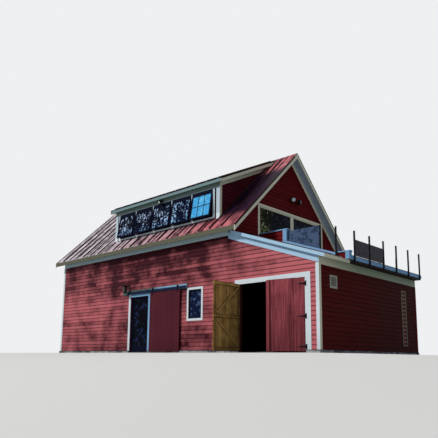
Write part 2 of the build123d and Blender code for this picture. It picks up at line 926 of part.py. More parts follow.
# Dormer boards: fascia, verges, corner boards, the casing round the windows and its mullions
window_pitch = (dormer_band_width + dormer_mullion) / dormer_windows
mullions = [band_left - dormer_mullion / 2 + n * window_pitch for n in range(1, dormer_windows)]
fascia_z = dormer_z(dormer_eave) - dormer_fascia_height / 2
with BuildPart() as dormer_trim:
    with Locations(((dormer_roof_left + dormer_roof_right) / 2, dormer_eave + board / 2, fascia_z)):
        Box(dormer_roof_right - dormer_roof_left - 2 * edge_thickness, board, dormer_fascia_height)
    for x in (dormer_roof_left + edge_thickness, dormer_roof_right - edge_thickness - board):
        with BuildSketch(Plane.YZ.offset(x)):
            with BuildLine():
                meeting = -dormer_verge_height / (slope - dormer_slope)
                Polyline(
                    (dormer_eave + board, dormer_z(dormer_eave + board)),
                    (0, ridge_height),
                    (meeting, roof_z(meeting)),
                    (dormer_eave + board, dormer_z(dormer_eave + board) - dormer_verge_height),
                    close=True,
                )
            make_face()
        extrude(amount=board)
    outer = dormer_front - board
    for x in (dormer_x, dormer_end - dormer_corner_board):
        with BuildSketch(Plane.YZ.offset(x)):
            with BuildLine():
                Polyline(
                    (outer, roof_z(outer)),
                    (dormer_front, roof_z(dormer_front)),
                    (dormer_front, dormer_z(dormer_front) - dormer_drop),
                    (outer, dormer_z(outer) - dormer_drop),
                    close=True,
                )
            make_face()
        extrude(amount=dormer_corner_board)
    for x in (dormer_x - board, dormer_end):
        with BuildSketch(Plane.YZ.offset(x)):
            with BuildLine():
                inner = dormer_front + corner_board
                Polyline(
                    (outer, roof_z(outer)),
                    (inner, roof_z(inner)),
                    (inner, dormer_z(inner) - dormer_drop),
                    (outer, dormer_z(outer) - dormer_drop),
                    close=True,
                )
            make_face()
        extrude(amount=board)
        with BuildSketch(Plane.YZ.offset(x)):
            with BuildLine():
                top_end = -dormer_drop / (slope - dormer_slope)
                low_end = -dormer_cheek_frieze / (slope - dormer_slope)
                Polyline(
                    (inner, dormer_z(inner) - dormer_drop),
                    (top_end, roof_z(top_end)),
                    (low_end, roof_z(low_end)),
                    (inner, dormer_z(inner) - dormer_cheek_frieze),
                    close=True,
                )
            make_face()
        extrude(amount=board)
    with BuildSketch(dormer_face):
        with Locations((band_centre_x, band_centre_z - dormer_sill / 2)):
            Rectangle(dormer_band_width + 2 * dormer_casing, dormer_band_height + dormer_sill)
        with Locations((band_centre_x, band_centre_z)):
            Rectangle(dormer_band_width, dormer_band_height, mode=Mode.SUBTRACT)
        with Locations((dormer_x + dormer_width / 2, (band_top + dormer_z(outer) - dormer_drop) / 2)):
            Rectangle(dormer_width - 2 * dormer_corner_board, dormer_z(outer) - dormer_drop - band_top)
    extrude(amount=board)
    for x in mullions:
        with Locations((x, dormer_front + dormer_mullion_depth / 2 - board, band_centre_z)):
            Box(dormer_mullion, dormer_mullion_depth, dormer_band_height)
dormer_trim.part.label = "dormer_trim"
export_step(dormer_trim.part, "parts/dormer_trim.step")

# Dormer sashes, each hung from its head and pushed open at the bottom
pane_wide = window_pitch - dormer_mullion - 2 * dormer_stile
pane_tall = dormer_band_height - dormer_stile - dormer_top_rail
pane_middle = (dormer_stile - dormer_top_rail - dormer_band_height) / 2
tilt = radians(open_sash_angle)
sash_planes = []
for n in range(dormer_windows):
    head = (band_left + (n + 0.5) * window_pitch - dormer_mullion / 2, dormer_front - board, band_top)
    sash_planes.append(Plane(origin=head, x_dir=(1, 0, 0), z_dir=(0, -cos(tilt), sin(tilt))))
with BuildPart() as dormer_sashes:
    for sash_plane in sash_planes:
        with BuildSketch(sash_plane):
            with Locations((0, -dormer_band_height / 2)):
                Rectangle(window_pitch - dormer_mullion, dormer_band_height)
            with Locations((0, pane_middle)):
                Rectangle(pane_wide, pane_tall, mode=Mode.SUBTRACT)
        extrude(amount=-sash_thickness)
dormer_sashes.part.label = "dormer_sashes"
export_step(dormer_sashes.part, "parts/dormer_sashes.step")

with BuildPart() as dormer_glass:
    for sash_plane in sash_planes:
        with BuildSketch(sash_plane.offset((glass_thickness - sash_thickness) / 2)):
            with Locations((0, pane_middle)):
                Rectangle(pane_wide, pane_tall)
        extrude(amount=-glass_thickness)
dormer_glass.part.label = "dormer_glass"
export_step(dormer_glass.part, "parts/dormer_glass.step")

# Front window: casing on the wall, sash and glass in the opening
window_centre = (left + window_left + window_width / 2, window_bottom + window_height / 2)
with BuildPart() as front_window_frame:
    with BuildSketch(front_face):
        with Locations(window_centre):
            Rectangle(window_width + 2 * window_trim_width, window_height + 2 * window_trim_width)
            Rectangle(window_width, window_height, mode=Mode.SUBTRACT)
    extrude(amount=board)
front_window_frame.part.label = "front_window_frame"
export_step(front_window_frame.part, "parts/front_window_frame.step")

with BuildPart() as front_window_sash:
    with BuildSketch(front_face):
        with Locations(window_centre):
            Rectangle(window_width, window_height)
            Rectangle(window_width - 2 * sash_width, window_height - 2 * sash_width, mode=Mode.SUBTRACT)
    extrude(amount=-2 * sash_thickness)
front_window_sash.part.label = "front_window_sash"
export_step(front_window_sash.part, "parts/front_window_sash.step")

with BuildPart() as front_window_glass:
    with BuildSketch(front_face.offset(-sash_thickness)):
        with Locations(window_centre):
            Rectangle(window_width - 2 * sash_width, window_height - 2 * sash_width)
    extrude(amount=-glass_thickness)
front_window_glass.part.label = "front_window_glass"
export_step(front_window_glass.part, "parts/front_window_glass.step")

# Glazed opening in the gable: casing, jambs, head and one wide mullion
gable_face = Plane.YZ.offset(gable_x)
glazing_z = loft_floor_top + glazing_height / 2
with BuildPart() as gable_window_frame:
    with BuildSketch(gable_face):
        with Locations((glazing_centre, glazing_z + glazing_trim / 2)):
            Rectangle(glazing_width + 2 * glazing_trim, glazing_height + glazing_trim)
        with BuildLine():
            chevron(front, back, roof_drop, rake_frieze_height)
        make_face(mode=Mode.SUBTRACT)
        with Locations((glazing_centre, glazing_z)):
            Rectangle(glazing_width, glazing_height, mode=Mode.SUBTRACT)
        with Locations((deck_front - glazing_trim, (loft_floor_top + lean_to_top) / 2)):
            Rectangle(2 * glazing_trim, lean_to_top - loft_floor_top, mode=Mode.SUBTRACT)
    extrude(amount=board)
    with BuildSketch(gable_face):
        with Locations((glazing_centre, glazing_z)):
            Rectangle(glazing_width, glazing_height)
            pane_width = (glazing_width - glazing_mullion - 2 * sash_width) / 2
            for side in (-1, 1):
                with Locations((side * (pane_width + glazing_mullion) / 2, 0)):
                    Rectangle(pane_width, glazing_height - 2 * sash_width, mode=Mode.SUBTRACT)
    extrude(amount=-2 * sash_thickness)
gable_window_frame.part.label = "gable_window_frame"
export_step(gable_window_frame.part, "parts/gable_window_frame.step")

with BuildPart() as gable_window_glass:
    with BuildSketch(gable_face.offset(-sash_thickness)):
        for side in (-1, 1):
            with Locations((glazing_centre + side * (pane_width + glazing_mullion) / 2, glazing_z)):
                Rectangle(pane_width, glazing_height - 2 * sash_width)
    extrude(amount=-glass_thickness)
gable_window_glass.part.label = "gable_window_glass"
export_step(gable_window_glass.part, "parts/gable_window_glass.step")

# Louvred vent in the lean-to side
side_face = Plane.YZ.offset(right)
with BuildPart() as side_vent:
    with BuildSketch(side_face.offset(-wall / 2)):
        with Locations(vent_centre):
            Rectangle(vent_width - 2 * vent_frame, vent_height - 2 * vent_frame)
            Rectangle(vent_width - 3 * vent_frame, vent_height - 3 * vent_frame, mode=Mode.SUBTRACT)
    extrude(amount=wall / 2)
    with BuildSketch(side_face):
        with Locations(vent_centre):
            Rectangle(vent_width, vent_height)
            Rectangle(vent_width - 3 * vent_frame, vent_height - 3 * vent_frame, mode=Mode.SUBTRACT)
    extrude(amount=board)
    slat_pitch = (vent_height - 3 * vent_frame) / vent_slats
    slat_length = vent_width - 2.5 * vent_frame
    low_z = vent_centre[1] - (vent_height - 3 * vent_frame) / 2 + vent_slat_gap
    for n in range(vent_slats):
        with BuildSketch(Plane.XZ.offset(-(vent_centre[0] - slat_length / 2))):
            with BuildLine():
                z = low_z + n * slat_pitch
                high_z = z + slat_pitch - 2 * vent_slat_gap
                Polyline(
                    (right + board / 2, z),
                    (right + board / 2, z + vent_slat_thickness),
                    (right - board, high_z),
                    (right - board, high_z - vent_slat_thickness),
                    close=True,
                )
            make_face()
        extrude(amount=-slat_length)
side_vent.part.label = "side_vent"
export_step(side_vent.part, "parts/side_vent.step")

# Narrow slatted strip on the lean-to side, near the back
strip_centre = (front + strip_start + strip_width / 2, strip_bottom + strip_height / 2)
with BuildPart() as side_strip:
    with BuildSketch(side_face):
        for side in (-1, 1):
            with Locations((strip_centre[0] + side * (strip_width - strip_rail) / 2, strip_centre[1])):
                Rectangle(strip_rail, strip_height)
        rung_pitch = (strip_height - strip_rail) / (strip_rungs - 1)
        for n in range(strip_rungs):
            with Locations((strip_centre[0], strip_bottom + strip_rail / 2 + n * rung_pitch)):
                Rectangle(strip_width, strip_rail)
    extrude(amount=board)
side_strip.part.label = "side_strip"
export_step(side_strip.part, "parts/side_strip.step")

# Trim beside and over the doorways
with BuildPart() as door_trim:
    with BuildSketch(front_face):
        entry_centre = left + entry_left + entry_width / 2
        with Locations((entry_centre, (foundation_height + track_bottom) / 2)):
            Rectangle(entry_width + 2 * entry_trim_width, track_bottom - foundation_height)
        with Locations((entry_centre, (foundation_height + entry_height) / 2)):
            Rectangle(entry_width, entry_height - foundation_height, mode=Mode.SUBTRACT)
        barn_trim_height = barn_opening_height + barn_header_height - foundation_height
        with Locations((barn_left + barn_opening_width / 2, foundation_height + barn_trim_height / 2)):
            Rectangle(barn_opening_width + 2 * barn_trim_width, barn_trim_height)
            Rectangle(barn_opening_width, barn_trim_height, mode=Mode.SUBTRACT)
        with Locations((barn_left + barn_opening_width / 2, barn_opening_height + barn_header_height / 2)):
            Rectangle(barn_opening_width, barn_header_height)
    extrude(amount=board)
door_trim.part.label = "door_trim"
export_step(door_trim.part, "parts/door_trim.step")

# Track board with the rail the sliding door hangs from
rail_top = rail_bottom + rail_height
board_face = front - track_board_thickness
rail_back = board_face - rail_standoff
rail_end = track_left + track_length
rail_pitch = (rail_end - rail_left) / rail_posts
with BuildPart() as slide_track:
    track_z = track_bottom + track_height / 2
    with Locations((left + track_left + track_length / 2, (front + board_face) / 2, track_z)):
        Box(track_length, track_board_thickness, track_height)
    rail_z = rail_bottom + rail_height / 2
    with Locations((left + (rail_left + rail_end) / 2, rail_back - rail_thickness / 2, rail_z)):
        Box(rail_end - rail_left, rail_thickness, rail_height)
    for n in range(rail_posts):
        x = left + rail_left + (n + 0.5) * rail_pitch
        with Locations((x, (board_face + rail_back) / 2, rail_z)):
            Box(rail_block, rail_standoff, rail_height)
slide_track.part.label = "slide_track"
export_step(slide_track.part, "parts/slide_track.step")

# Sliding door, hung from two wheels that roll on the rail
slider_face = front - slider_standoff - slider_thickness
with BuildPart() as sliding_door:
    slider_y = slider_face + slider_thickness / 2
    with Locations((left + slider_left + slider_width / 2, slider_y, (slider_bottom + slider_top) / 2)):
        Box(slider_width, slider_thickness, slider_top - slider_bottom)
sliding_door.part.label = "sliding_door"
export_step(sliding_door.part, "parts/sliding_door.step")

axle_z = rail_top + wheel_radius + wheel_clearance
rail_middle = rail_back - rail_thickness / 2
hanger_bottom = slider_top - hanger_drop
hanger_top = axle_z + hanger_width / 2
with BuildPart() as sliding_door_hangers:
    for x in (left + slider_left + hanger_inset, left + slider_left + slider_width - hanger_inset):
        with Locations((x, slider_face - hanger_thickness / 2, (hanger_bottom + hanger_top) / 2)):
            Box(hanger_width, hanger_thickness, hanger_top - hanger_bottom)
        with BuildSketch(Plane.XZ.offset(-slider_face)):
            with Locations((x, axle_z)):
                Circle(pin_radius)
        extrude(amount=-(rail_middle - slider_face))
        with BuildSketch(Plane.XZ.offset(-(rail_middle - wheel_thickness / 2))):
            with Locations((x, axle_z)):
                Circle(wheel_radius)
        extrude(amount=-wheel_thickness)
sliding_door_hangers.part.label = "sliding_door_hangers"
export_step(sliding_door_hangers.part, "parts/sliding_door_hangers.step")

# Double barn door: each leaf is drawn along its own plane from the pin and stands a little open
pin_y = front - board - hinge_standoff
leaf_width = (barn_opening_width - 3 * leaf_gap) / 2
leaf_top = barn_opening_height - leaf_gap
leaf_middle = (leaf_bottom + leaf_top) / 2
leaf_height = leaf_top - leaf_bottom
left_turn = radians(left_leaf_angle)
right_turn = radians(right_leaf_angle)
left_along = Vector(cos(left_turn), -sin(left_turn), 0)
right_along = Vector(-cos(right_turn), -sin(right_turn), 0)
left_leaf = Plane(origin=(barn_left, pin_y, 0), x_dir=left_along, z_dir=(0, 0, 1))
right_leaf = Plane(origin=(barn_right, pin_y, 0), x_dir=right_along, z_dir=(0, 0, 1))
ledge_span = leaf_width - 2 * leaf_gap
ledge_heights = [leaf_bottom + ledge_width / 2, leaf_middle, leaf_top - ledge_width / 2]
ledge_clear = leaf_middle - leaf_bottom - 1.5 * ledge_width


# Ledges run across the inner face, and the two braces meet at the free end of the middle one
brace_start = 2 * leaf_gap
brace_end = brace_start + ledge_span
brace_width = ledge_width / cos(radians(45))
braces = (
    (ledge_heights[0], brace_start, brace_end - brace_width),
    (ledge_heights[1], brace_end - brace_width, brace_start),
)
for name, leaf, inward in (("barn_door_left", left_leaf, 1), ("barn_door_right", right_leaf, -1)):
    inner_face = leaf.y_dir * inward * (hinge_standoff + leaf_thickness)
    inner_plane = Plane(origin=leaf.origin + inner_face, x_dir=leaf.x_dir, z_dir=-leaf.y_dir)
    with BuildPart() as barn_leaf:
        with Locations(leaf.location):
            leaf_y = inward * (hinge_standoff + leaf_thickness / 2)
            with Locations((leaf_gap + leaf_width / 2, leaf_y, leaf_middle)):
                Box(leaf_width, leaf_thickness, leaf_height)
        with BuildSketch(inner_plane):
            for z in ledge_heights:
                with Locations((leaf_gap + leaf_width / 2, z)):
                    Rectangle(ledge_span, ledge_width)
            for low, brace_foot, brace_head in braces:
                with BuildLine():
                    Polyline(
                        (brace_foot, low + ledge_width / 2),
                        (brace_foot + brace_width, low + ledge_width / 2),
                        (brace_head + brace_width, low + ledge_width / 2 + ledge_clear),
                        (brace_head, low + ledge_width / 2 + ledge_clear),
                        close=True,
                    )
                make_face()
        extrude(amount=-inward * ledge_thickness)
        if inward < 0:
            with Locations(leaf.location):
                batten_x = leaf_gap + leaf_width - batten_width / 2
                with Locations((batten_x, batten_thickness / 2 - hinge_standoff, leaf_middle)):
                    Box(batten_width, batten_thickness, leaf_height)
    barn_leaf.part.label = name
    export_step(barn_leaf.part, f"parts/{name}.step")

    # Tapered strap hinges on the outer face, with knuckles that turn on the pins
    strap_face = leaf.y_dir * inward * (hinge_standoff - strap_thickness)
    strap_plane = Plane(origin=leaf.origin + strap_face, x_dir=leaf.x_dir, z_dir=-leaf.y_dir)
    with BuildPart() as straps:
        for z in strap_heights:
            with BuildSketch(strap_plane):
                with BuildLine():
                    Polyline(
                        (0, z - strap_width / 2),
                        (strap_length, z - strap_tip / 2),
                        (strap_length, z + strap_tip / 2),
                        (0, z + strap_width / 2),
                        close=True,
                    )
                make_face()
            extrude(amount=-inward * strap_thickness)
            with Locations(leaf.location):
                with Locations((0, 0, z)):
                    Cylinder(knuckle_radius, strap_width)
                    Cylinder(pin_radius + pin_clearance, strap_width, mode=Mode.SUBTRACT)
    straps.part.label = f"{name}_hinges"
    export_step(straps.part, f"parts/{name}_hinges.step")

# Pintles: a plate on the jamb board, two arms and the pin between them
arm_z = strap_width / 2 + arm_gap + arm_thickness / 2
with BuildPart() as door_pintles:
    for x, away in ((barn_left, -1), (barn_right, 1)):
        for z in strap_heights:
            plate_x = x + away * (pintle_plate_width / 2 + arm_radius)
            with Locations((plate_x, front - board - pintle_thickness / 2, z)):
                Box(pintle_plate_width, pintle_thickness, pintle_plate_height)
            for level in (-arm_z, arm_z):
                with Locations((x + away * 2 * arm_radius, pin_y + hinge_standoff / 2, z + level)):
                    Box(2 * arm_radius, hinge_standoff, arm_thickness)
                with Locations((x + away * arm_radius / 2, pin_y, z + level)):
                    Box(arm_radius, arm_radius, arm_thickness)
                with Locations((x, pin_y, z + level)):
                    Cylinder(arm_radius, arm_thickness)
            with Locations((x, pin_y, z)):
                Cylinder(pin_radius, 2 * arm_z)
door_pintles.part.label = "door_pintles"
export_step(door_pintles.part, "parts/door_pintles.step")

# Glazed entry door, hung on the left jamb and opening inward
entry_inner = front + entry_door_inset + entry_door_thickness
entry_pin_x = left + entry_left + entry_door_gap
entry_pin_y = entry_inner + entry_door_gap
entry_door_width = entry_width - 2 * entry_door_gap
entry_door_top = entry_height - entry_door_gap
entry_middle = left + entry_left + entry_width / 2
glass_top = entry_door_top - entry_door_stile
glass_bottom = leaf_bottom + entry_door_bottom_rail
entry_glass_width = entry_door_width - 2 * entry_door_stile
with BuildPart() as entry_door:
    with BuildSketch(Plane.XZ.offset(-entry_inner)):
        with Locations((entry_middle, (leaf_bottom + entry_door_top) / 2)):
            Rectangle(entry_door_width, entry_door_top - leaf_bottom)
        with Locations((entry_middle, (glass_bottom + glass_top) / 2)):
            Rectangle(entry_glass_width, glass_top - glass_bottom, mode=Mode.SUBTRACT)
    extrude(amount=entry_door_thickness)
entry_door.part.label = "entry_door"
export_step(entry_door.part, "parts/entry_door.step")

with BuildPart() as entry_door_glass:
    glass_y = entry_inner - entry_door_thickness / 2
    with Locations((entry_middle, glass_y, (glass_bottom + glass_top) / 2)):
        Box(entry_glass_width, glass_thickness, glass_top - glass_bottom)
entry_door_glass.part.label = "entry_door_glass"
export_step(entry_door_glass.part, "parts/entry_door_glass.step")

with BuildPart() as entry_door_hinges:
    for z in entry_hinge_heights:
        with Locations((entry_pin_x, entry_pin_y, z)):
            Cylinder(entry_barrel_radius, entry_barrel_height)
        plate_y = entry_pin_y + entry_plate_width / 2
        with Locations((left + entry_left + entry_plate_thickness / 2, plate_y, z)):
            Box(entry_plate_thickness, entry_plate_width, entry_barrel_height)
entry_door_hinges.part.label = "entry_door_hinges"
export_step(entry_door_hinges.part, "parts/entry_door_hinges.step")

# Lantern over the entry, hung from an arm clear of the sliding door
lantern_x = left + lantern_left + lantern_width / 2
lantern_y = front - lantern_reach
arm_level = lantern_top + lamp_plate
with BuildPart() as door_lantern:
    with Locations((lantern_x, front - lamp_plate / 2, arm_level)):
        Box(lantern_width / 2, lamp_plate, lantern_plate_height)
    with Locations((lantern_x, (front + lantern_y) / 2, arm_level)):
        Box(lamp_plate, lantern_reach, lamp_plate)
    with BuildSketch(Plane.XY.offset(arm_level - lamp_plate)):
        with Locations((lantern_x, lantern_y)):
            Rectangle(lantern_width, lantern_width)
    extrude(amount=2 * lamp_plate, taper=30)
    with BuildSketch(Plane.XY.offset(lantern_top)):
        with Locations((lantern_x, lantern_y)):
            Rectangle(lantern_width - lamp_plate, lantern_width - lamp_plate)
    extrude(amount=-lantern_height, taper=5)
door_lantern.part.label = "door_lantern"
export_step(door_lantern.part, "parts/door_lantern.step")

# Lamps: a pair on a bar across the gable and one under the dormer eave
with BuildPart() as flood_lamps:
    with Locations((gable_x + lamp_plate / 2, gable_lamp_y, gable_lamp_z)):
        Box(lamp_plate, lamp_base, lamp_base)
    with Locations((gable_x + lamp_plate + lamp_arm / 2, gable_lamp_y, gable_lamp_z)):
        Box(lamp_arm, 2 * lamp_plate, 2 * lamp_plate)
    bar_x = gable_x + lamp_plate + lamp_arm
    with Locations((bar_x, gable_lamp_y, gable_lamp_z)):
        Box(lamp_plate, 2 * lamp_spread, lamp_plate)
    for side in (-1, 1):
        aim = (cos(radians(lamp_turn)), side * sin(radians(lamp_turn)), -sin(radians(lamp_turn)) / 2)
        head_plane = Plane(origin=(bar_x, gable_lamp_y + side * lamp_spread, gable_lamp_z), z_dir=aim)
        with BuildSketch(head_plane):
            Circle(gable_lamp_head / 2)
        extrude(amount=lamp_length)
    dormer_lamp_x = left + dormer_lamp_left
    dormer_lamp_y = dormer_front - board - lamp_plate / 2
    with Locations((dormer_lamp_x, dormer_lamp_y, dormer_lamp_z)):
        Box(lamp_base, lamp_plate, lamp_base / 2)
    lamp_root = (dormer_lamp_x, dormer_lamp_y - lamp_plate / 4, dormer_lamp_z)
    dormer_plane = Plane(origin=lamp_root, z_dir=(0, -1, -0.6))
    with BuildSketch(dormer_plane):
        Circle(lamp_plate)
    extrude(amount=lamp_arm + lamp_plate)
    with BuildSketch(dormer_plane.offset(lamp_arm)):
        Circle(lamp_head / 2)
    extrude(amount=lamp_length)
flood_lamps.part.label = "flood_lamps"
export_step(flood_lamps.part, "parts/flood_lamps.step")
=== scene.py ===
import math
import random

import bmesh
import bpy
from mathutils import Matrix, Vector


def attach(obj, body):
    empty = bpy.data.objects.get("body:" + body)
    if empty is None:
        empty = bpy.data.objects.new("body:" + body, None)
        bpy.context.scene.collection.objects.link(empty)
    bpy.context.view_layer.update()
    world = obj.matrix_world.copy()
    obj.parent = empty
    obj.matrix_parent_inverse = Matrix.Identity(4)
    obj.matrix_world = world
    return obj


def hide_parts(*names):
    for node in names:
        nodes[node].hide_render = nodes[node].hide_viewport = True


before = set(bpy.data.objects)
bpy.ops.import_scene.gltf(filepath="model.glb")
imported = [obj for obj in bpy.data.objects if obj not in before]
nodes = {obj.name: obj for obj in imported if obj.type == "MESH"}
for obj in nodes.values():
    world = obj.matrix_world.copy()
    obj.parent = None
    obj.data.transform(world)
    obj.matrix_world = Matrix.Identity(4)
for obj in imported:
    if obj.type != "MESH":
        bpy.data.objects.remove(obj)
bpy.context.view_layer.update()  # the barn's solids, fixed in place
print("frame loaded,", len(nodes), "nodes")

# the barn's own lines, in metres: walls, ridge, dormer, lean-to and deck
barn = {
    "left": -7.62, "right": 7.62, "front": -3.65, "back": 3.65, "gable": 4.03, "base": 0.12,
    "ridge": 8.451, "roofSlope": 0.9691, "dormerSlope": 0.4856, "dormerFront": -3.36,
    "dormerLeft": -3.69, "dormerRight": 3.03, "leanTop": 4.45, "leanSlope": 0.347,
    "leanUnder": 0.13, "sideTop": 3.07, "deckFloor": 3.30, "deckFront": -2.20,
}


def leanZ(x):
    return barn["leanTop"] - (x - barn["gable"]) * barn["leanSlope"]


def linear(hexColour):
    # an sRGB hex colour as the linear one that a shader takes
    shares = [int(hexColour[n:n + 2], 16) / 255 for n in (1, 3, 5)]
    return [s / 12.92 if s < 0.04045 else ((s + 0.055) / 1.055) ** 2.4 for s in shares] + [1]


def setInputs(tree, node, links=None, values=None):
    for name, value in (values or {}).items():
        node.inputs[name].default_value = value
    for name, source in (links or {}).items():
        tree.links.new(source, node.inputs[name])


def addNode(tree, kind, links=None, values=None, settings=None):
    # adds a shader node and hands back its output sockets
    node = tree.nodes.new("ShaderNode" + kind)
    for name, value in (settings or {}).items():
        setattr(node, name, value)
    setInputs(tree, node, links, values)
    return node.outputs


def startMaterial(name):
    material = bpy.data.materials.new(name)
    material.use_nodes = True
    tree = material.node_tree
    place = addNode(tree, "TexCoord")["Object"]
    return material, tree, tree.nodes["Principled BSDF"], place


mixFactor, mixA, mixB, mixOut = 0, 6, 7, 2  # a colour Mix node's own sockets
wearSpread = 0.1  # how far a roughness goes either way with the wear


def blend(tree, value, first, second, start=0, end=1, most=1):
    # first where value is at start, and second, or most of it, where value is at end; each is
    # either an sRGB hex colour or a socket
    share = addNode(tree, "MapRange", {"Value": value},
                    {"From Min": start, "From Max": end, "To Max": most})[0]
    values, links = {}, {mixFactor: share}
    for slot, colour in ((mixA, first), (mixB, second)):
        if isinstance(colour, str):
            values[slot] = linear(colour)
        else:
            links[slot] = colour
    return addNode(tree, "Mix", links, values, {"data_type": "RGBA"})[mixOut]


def dress(tree, shader, look, colour, wear, height):
    # joins the colour, a roughness that varies with the wear and a relief to the shader
    rough = addNode(tree, "MapRange", {"Value": wear},
                    {"To Min": look["roughness"] - wearSpread,
                     "To Max": look["roughness"] + wearSpread})[0]
    bump = addNode(tree, "Bump", {"Height": height},
                   {"Strength": look["bump"], "Distance": look["reliefMm"] / 1000})[0]
    setInputs(tree, shader, {"Base Color": colour, "Roughness": rough, "Normal": bump},
              {"Specular IOR Level": look["gloss"]})


# clapboards, in metres: each row's height, its thick lower and thin upper edge, the joints
siding = {"course": 0.152, "butt": 0.020, "tip": 0.004, "joint": 0.002, "shortest": 2.4,
          "longest": 4.8, "reach": 8, "beyond": 99, "narrowest": 0.012, "thinnest": 0.004,
          "leastRow": 0.01, "rounding": 1e-6, "toneSpread": 0.6, "toneLimit": 1.5}

# growth lines are about 2 mm apart on real boards, and drawn 7 to 30 mm apart so that they show
# the dirt colour also paints the shade along each clapboard's lower edge
boardLook = {
    "grainMm": 7, "grainRun": 30, "patchMm": 900, "level": True, "toneShare": 0.22,
    "weatherShare": 0.7, "grainShare": 0.25, "splashTop": 0.7, "splashLow": 0.05, "splash": 0.5,
    "dirt": "#6b5a4a", "butt": 0, "buttDirt": (0.026, 0.008), "roughness": 0.6, "reliefMm": 0.6,
    "bump": 0.5, "gloss": 0.06, "faded": (), "zones": (),
}


def boardFinish(name, dark, pale, **changes):
    # boards under paint or oil: grain along the board, a tone for each board, weather in
    # patches, and splashed dirt near the ground
    look = dict(boardLook, **changes)
    material, tree, shader, place = startMaterial(name)
    axes = addNode(tree, "SeparateXYZ", {0: place})
    fine = 1000 / look["grainMm"]
    long = fine / look["grainRun"]
    grainPlace = addNode(tree, "Mapping", {"Vector": place},
                         {"Scale": (long, long, fine) if look["level"] else (fine, fine, long)})[0]
    grain = addNode(tree, "TexNoise", {"Vector": grainPlace},
                    {"Scale": 1, "Detail": 3, "Roughness": 0.6})[0]
    weather = addNode(tree, "TexNoise", {"Vector": place},
                      {"Scale": 1000 / look["patchMm"], "Detail": 5, "Roughness": 0.62})[0]
    tone = addNode(tree, "Attribute", settings={"attribute_name": "tone"})["Fac"]
    parts = [(weather, look["weatherShare"]), (grain, look["grainShare"])]
    for axis, start, end, most in look["faded"]:  # painted light and shade: paler towards the end of an axis, or darker
        share = addNode(tree, "MapRange", {"Value": axes[axis]},
                        {"From Min": start, "From Max": end})[0]
        parts.append((share, most))
    level = 0.5 - (look["weatherShare"] + look["grainShare"]) / 2
    shade = addNode(tree, "Math", {0: tone}, {1: look["toneShare"], 2: level},
                    {"operation": "MULTIPLY_ADD"})[0]
    for source, most in parts:
        shade = addNode(tree, "Math", {0: source, 2: shade}, {1: most},
                        {"operation": "MULTIPLY_ADD"})[0]
    colour = blend(tree, shade, dark, pale)
    for axis, start, end, *tones in look["zones"]:  # other colours towards the end of an axis
        source = axes[axis[-1]]
        if axis.startswith("abs"):
            source = addNode(tree, "Math", {0: source}, settings={"operation": "ABSOLUTE"})[0]
        if axis.startswith("facing"):
            normal = addNode(tree, "NewGeometry")["Normal"]
            source = addNode(tree, "SeparateXYZ", {0: normal})[axis[-1]]
        colour = blend(tree, source, colour, blend(tree, shade, *tones), start, end)
    if look["butt"]:  # painted shade, with some dirt, along the lower edge of each clapboard, under the butt above
        fromBase = addNode(tree, "Math", {0: axes["Z"]}, {1: barn["base"]},
                           {"operation": "SUBTRACT"})[0]
        inRow = addNode(tree, "Math", {0: fromBase}, {1: siding["course"]},
                        {"operation": "FLOORED_MODULO"})[0]
        colour = blend(tree, inRow, colour, look["dirt"], *look["buttDirt"], look["butt"])
    splash = addNode(tree, "MapRange", {"Value": axes["Z"]}, {
        "From Min": look["splashTop"], "From Max": look["splashLow"], "To Max": look["splash"]})[0]
    splash = addNode(tree, "Math", {0: splash, 1: weather}, settings={"operation": "MULTIPLY"})[0]
    dress(tree, shader, look, blend(tree, splash, colour, look["dirt"]), weather, grain)
    return material


# red barn paint on the sunny front: crimson, chalked to pink in patches, with painted shade over
# the upper wall and under the eaves, painted sunlight to the left and over the barn door, darker
# towards the bottom
clapboardPaint = boardFinish(
    "sunFadedPaintOnClapboards", "#3c0f1b", "#bd666e", weatherShare=2.5, butt=0.55,
    dirt="#240c12", splash=0.15, faded=[
        ("Z", 2.4, 3.6, -0.42), ("Z", 3.6, 4.3, -0.3), ("X", -3.0, -5.0, 0.26),
        ("X", 2.4, 4.6, 0.62), ("Z", 2.0, 0.9, -0.12)])
# the same paint on the gables and the back, painted dark red as shade
shaded = {"dirt": "#1d0708", "splash": 0.3, "gloss": 0.02}
shadePaint = boardFinish("darkRedPaintOnClapboards", "#541014", "#741c20", butt=0.35, **shaded)
# the dormer's cheeks: the same dark red as painted shade, with a purple cast
cheekPaint = boardFinish("darkRedPaintOnDormerCheeks", "#430f1c", "#5c1a28", butt=0.5, **shaded)
# the lean-to's side: dark red as painted shade, darker again towards the back
sidePaint = boardFinish("darkRedPaintOnSideClapboards", "#470c0e", "#651416", butt=0.5,
                        zones=[("Y", -3.6, 1.5, "#2f090a", "#451011")], **shaded)
# the dormer's front boards between the casing and the corner: painted almost black as shade
stainedPaint = boardFinish("stainedPaintOnDormerFront", "#0f070f", "#231018", butt=0.5,
                           dirt="#0a0508", splash=0.3, gloss=0.02)
# the same paint on planed upright boards of the doors: smoother, with the grain showing through,
# and darker towards the bottom, up to 1.6 m
doorPaint = boardFinish("redPaintOnDoorBoards", "#3d111d", "#b65a62", level=False, grainMm=30,
                        weatherShare=0.9, grainShare=1.7, roughness=0.5, toneShare=0.1,
                        dirt="#2b0f18", splashTop=1.6, splash=1.1)
# the sliding door's paint: plum red, kept dark as painted shade
sliderPaint = boardFinish(
    "plumRedPaintOnSlidingDoor", "#33101d", "#612430", level=False, weatherShare=0.8,
    roughness=0.5, toneShare=0.15, dirt="#2a0f17", patchMm=1400)
# white paint on casings and corner boards: white with a painted cool cast of skylight, grey
# weathering in the grain
whiteTrim = {"dark": "#bccfdc", "pale": "#eef6fb", "dirt": "#6f7780", "weatherShare": 0.6,
             "grainMm": 9, "roughness": 0.5}
# painted warm light on the faces turned towards +X
trimPaint = boardFinish("whitePaintOnTrimBoards", **whiteTrim,
                        zones=[("facingX", 0.3, 0.7, "#ded9b9", "#fcf7db")])
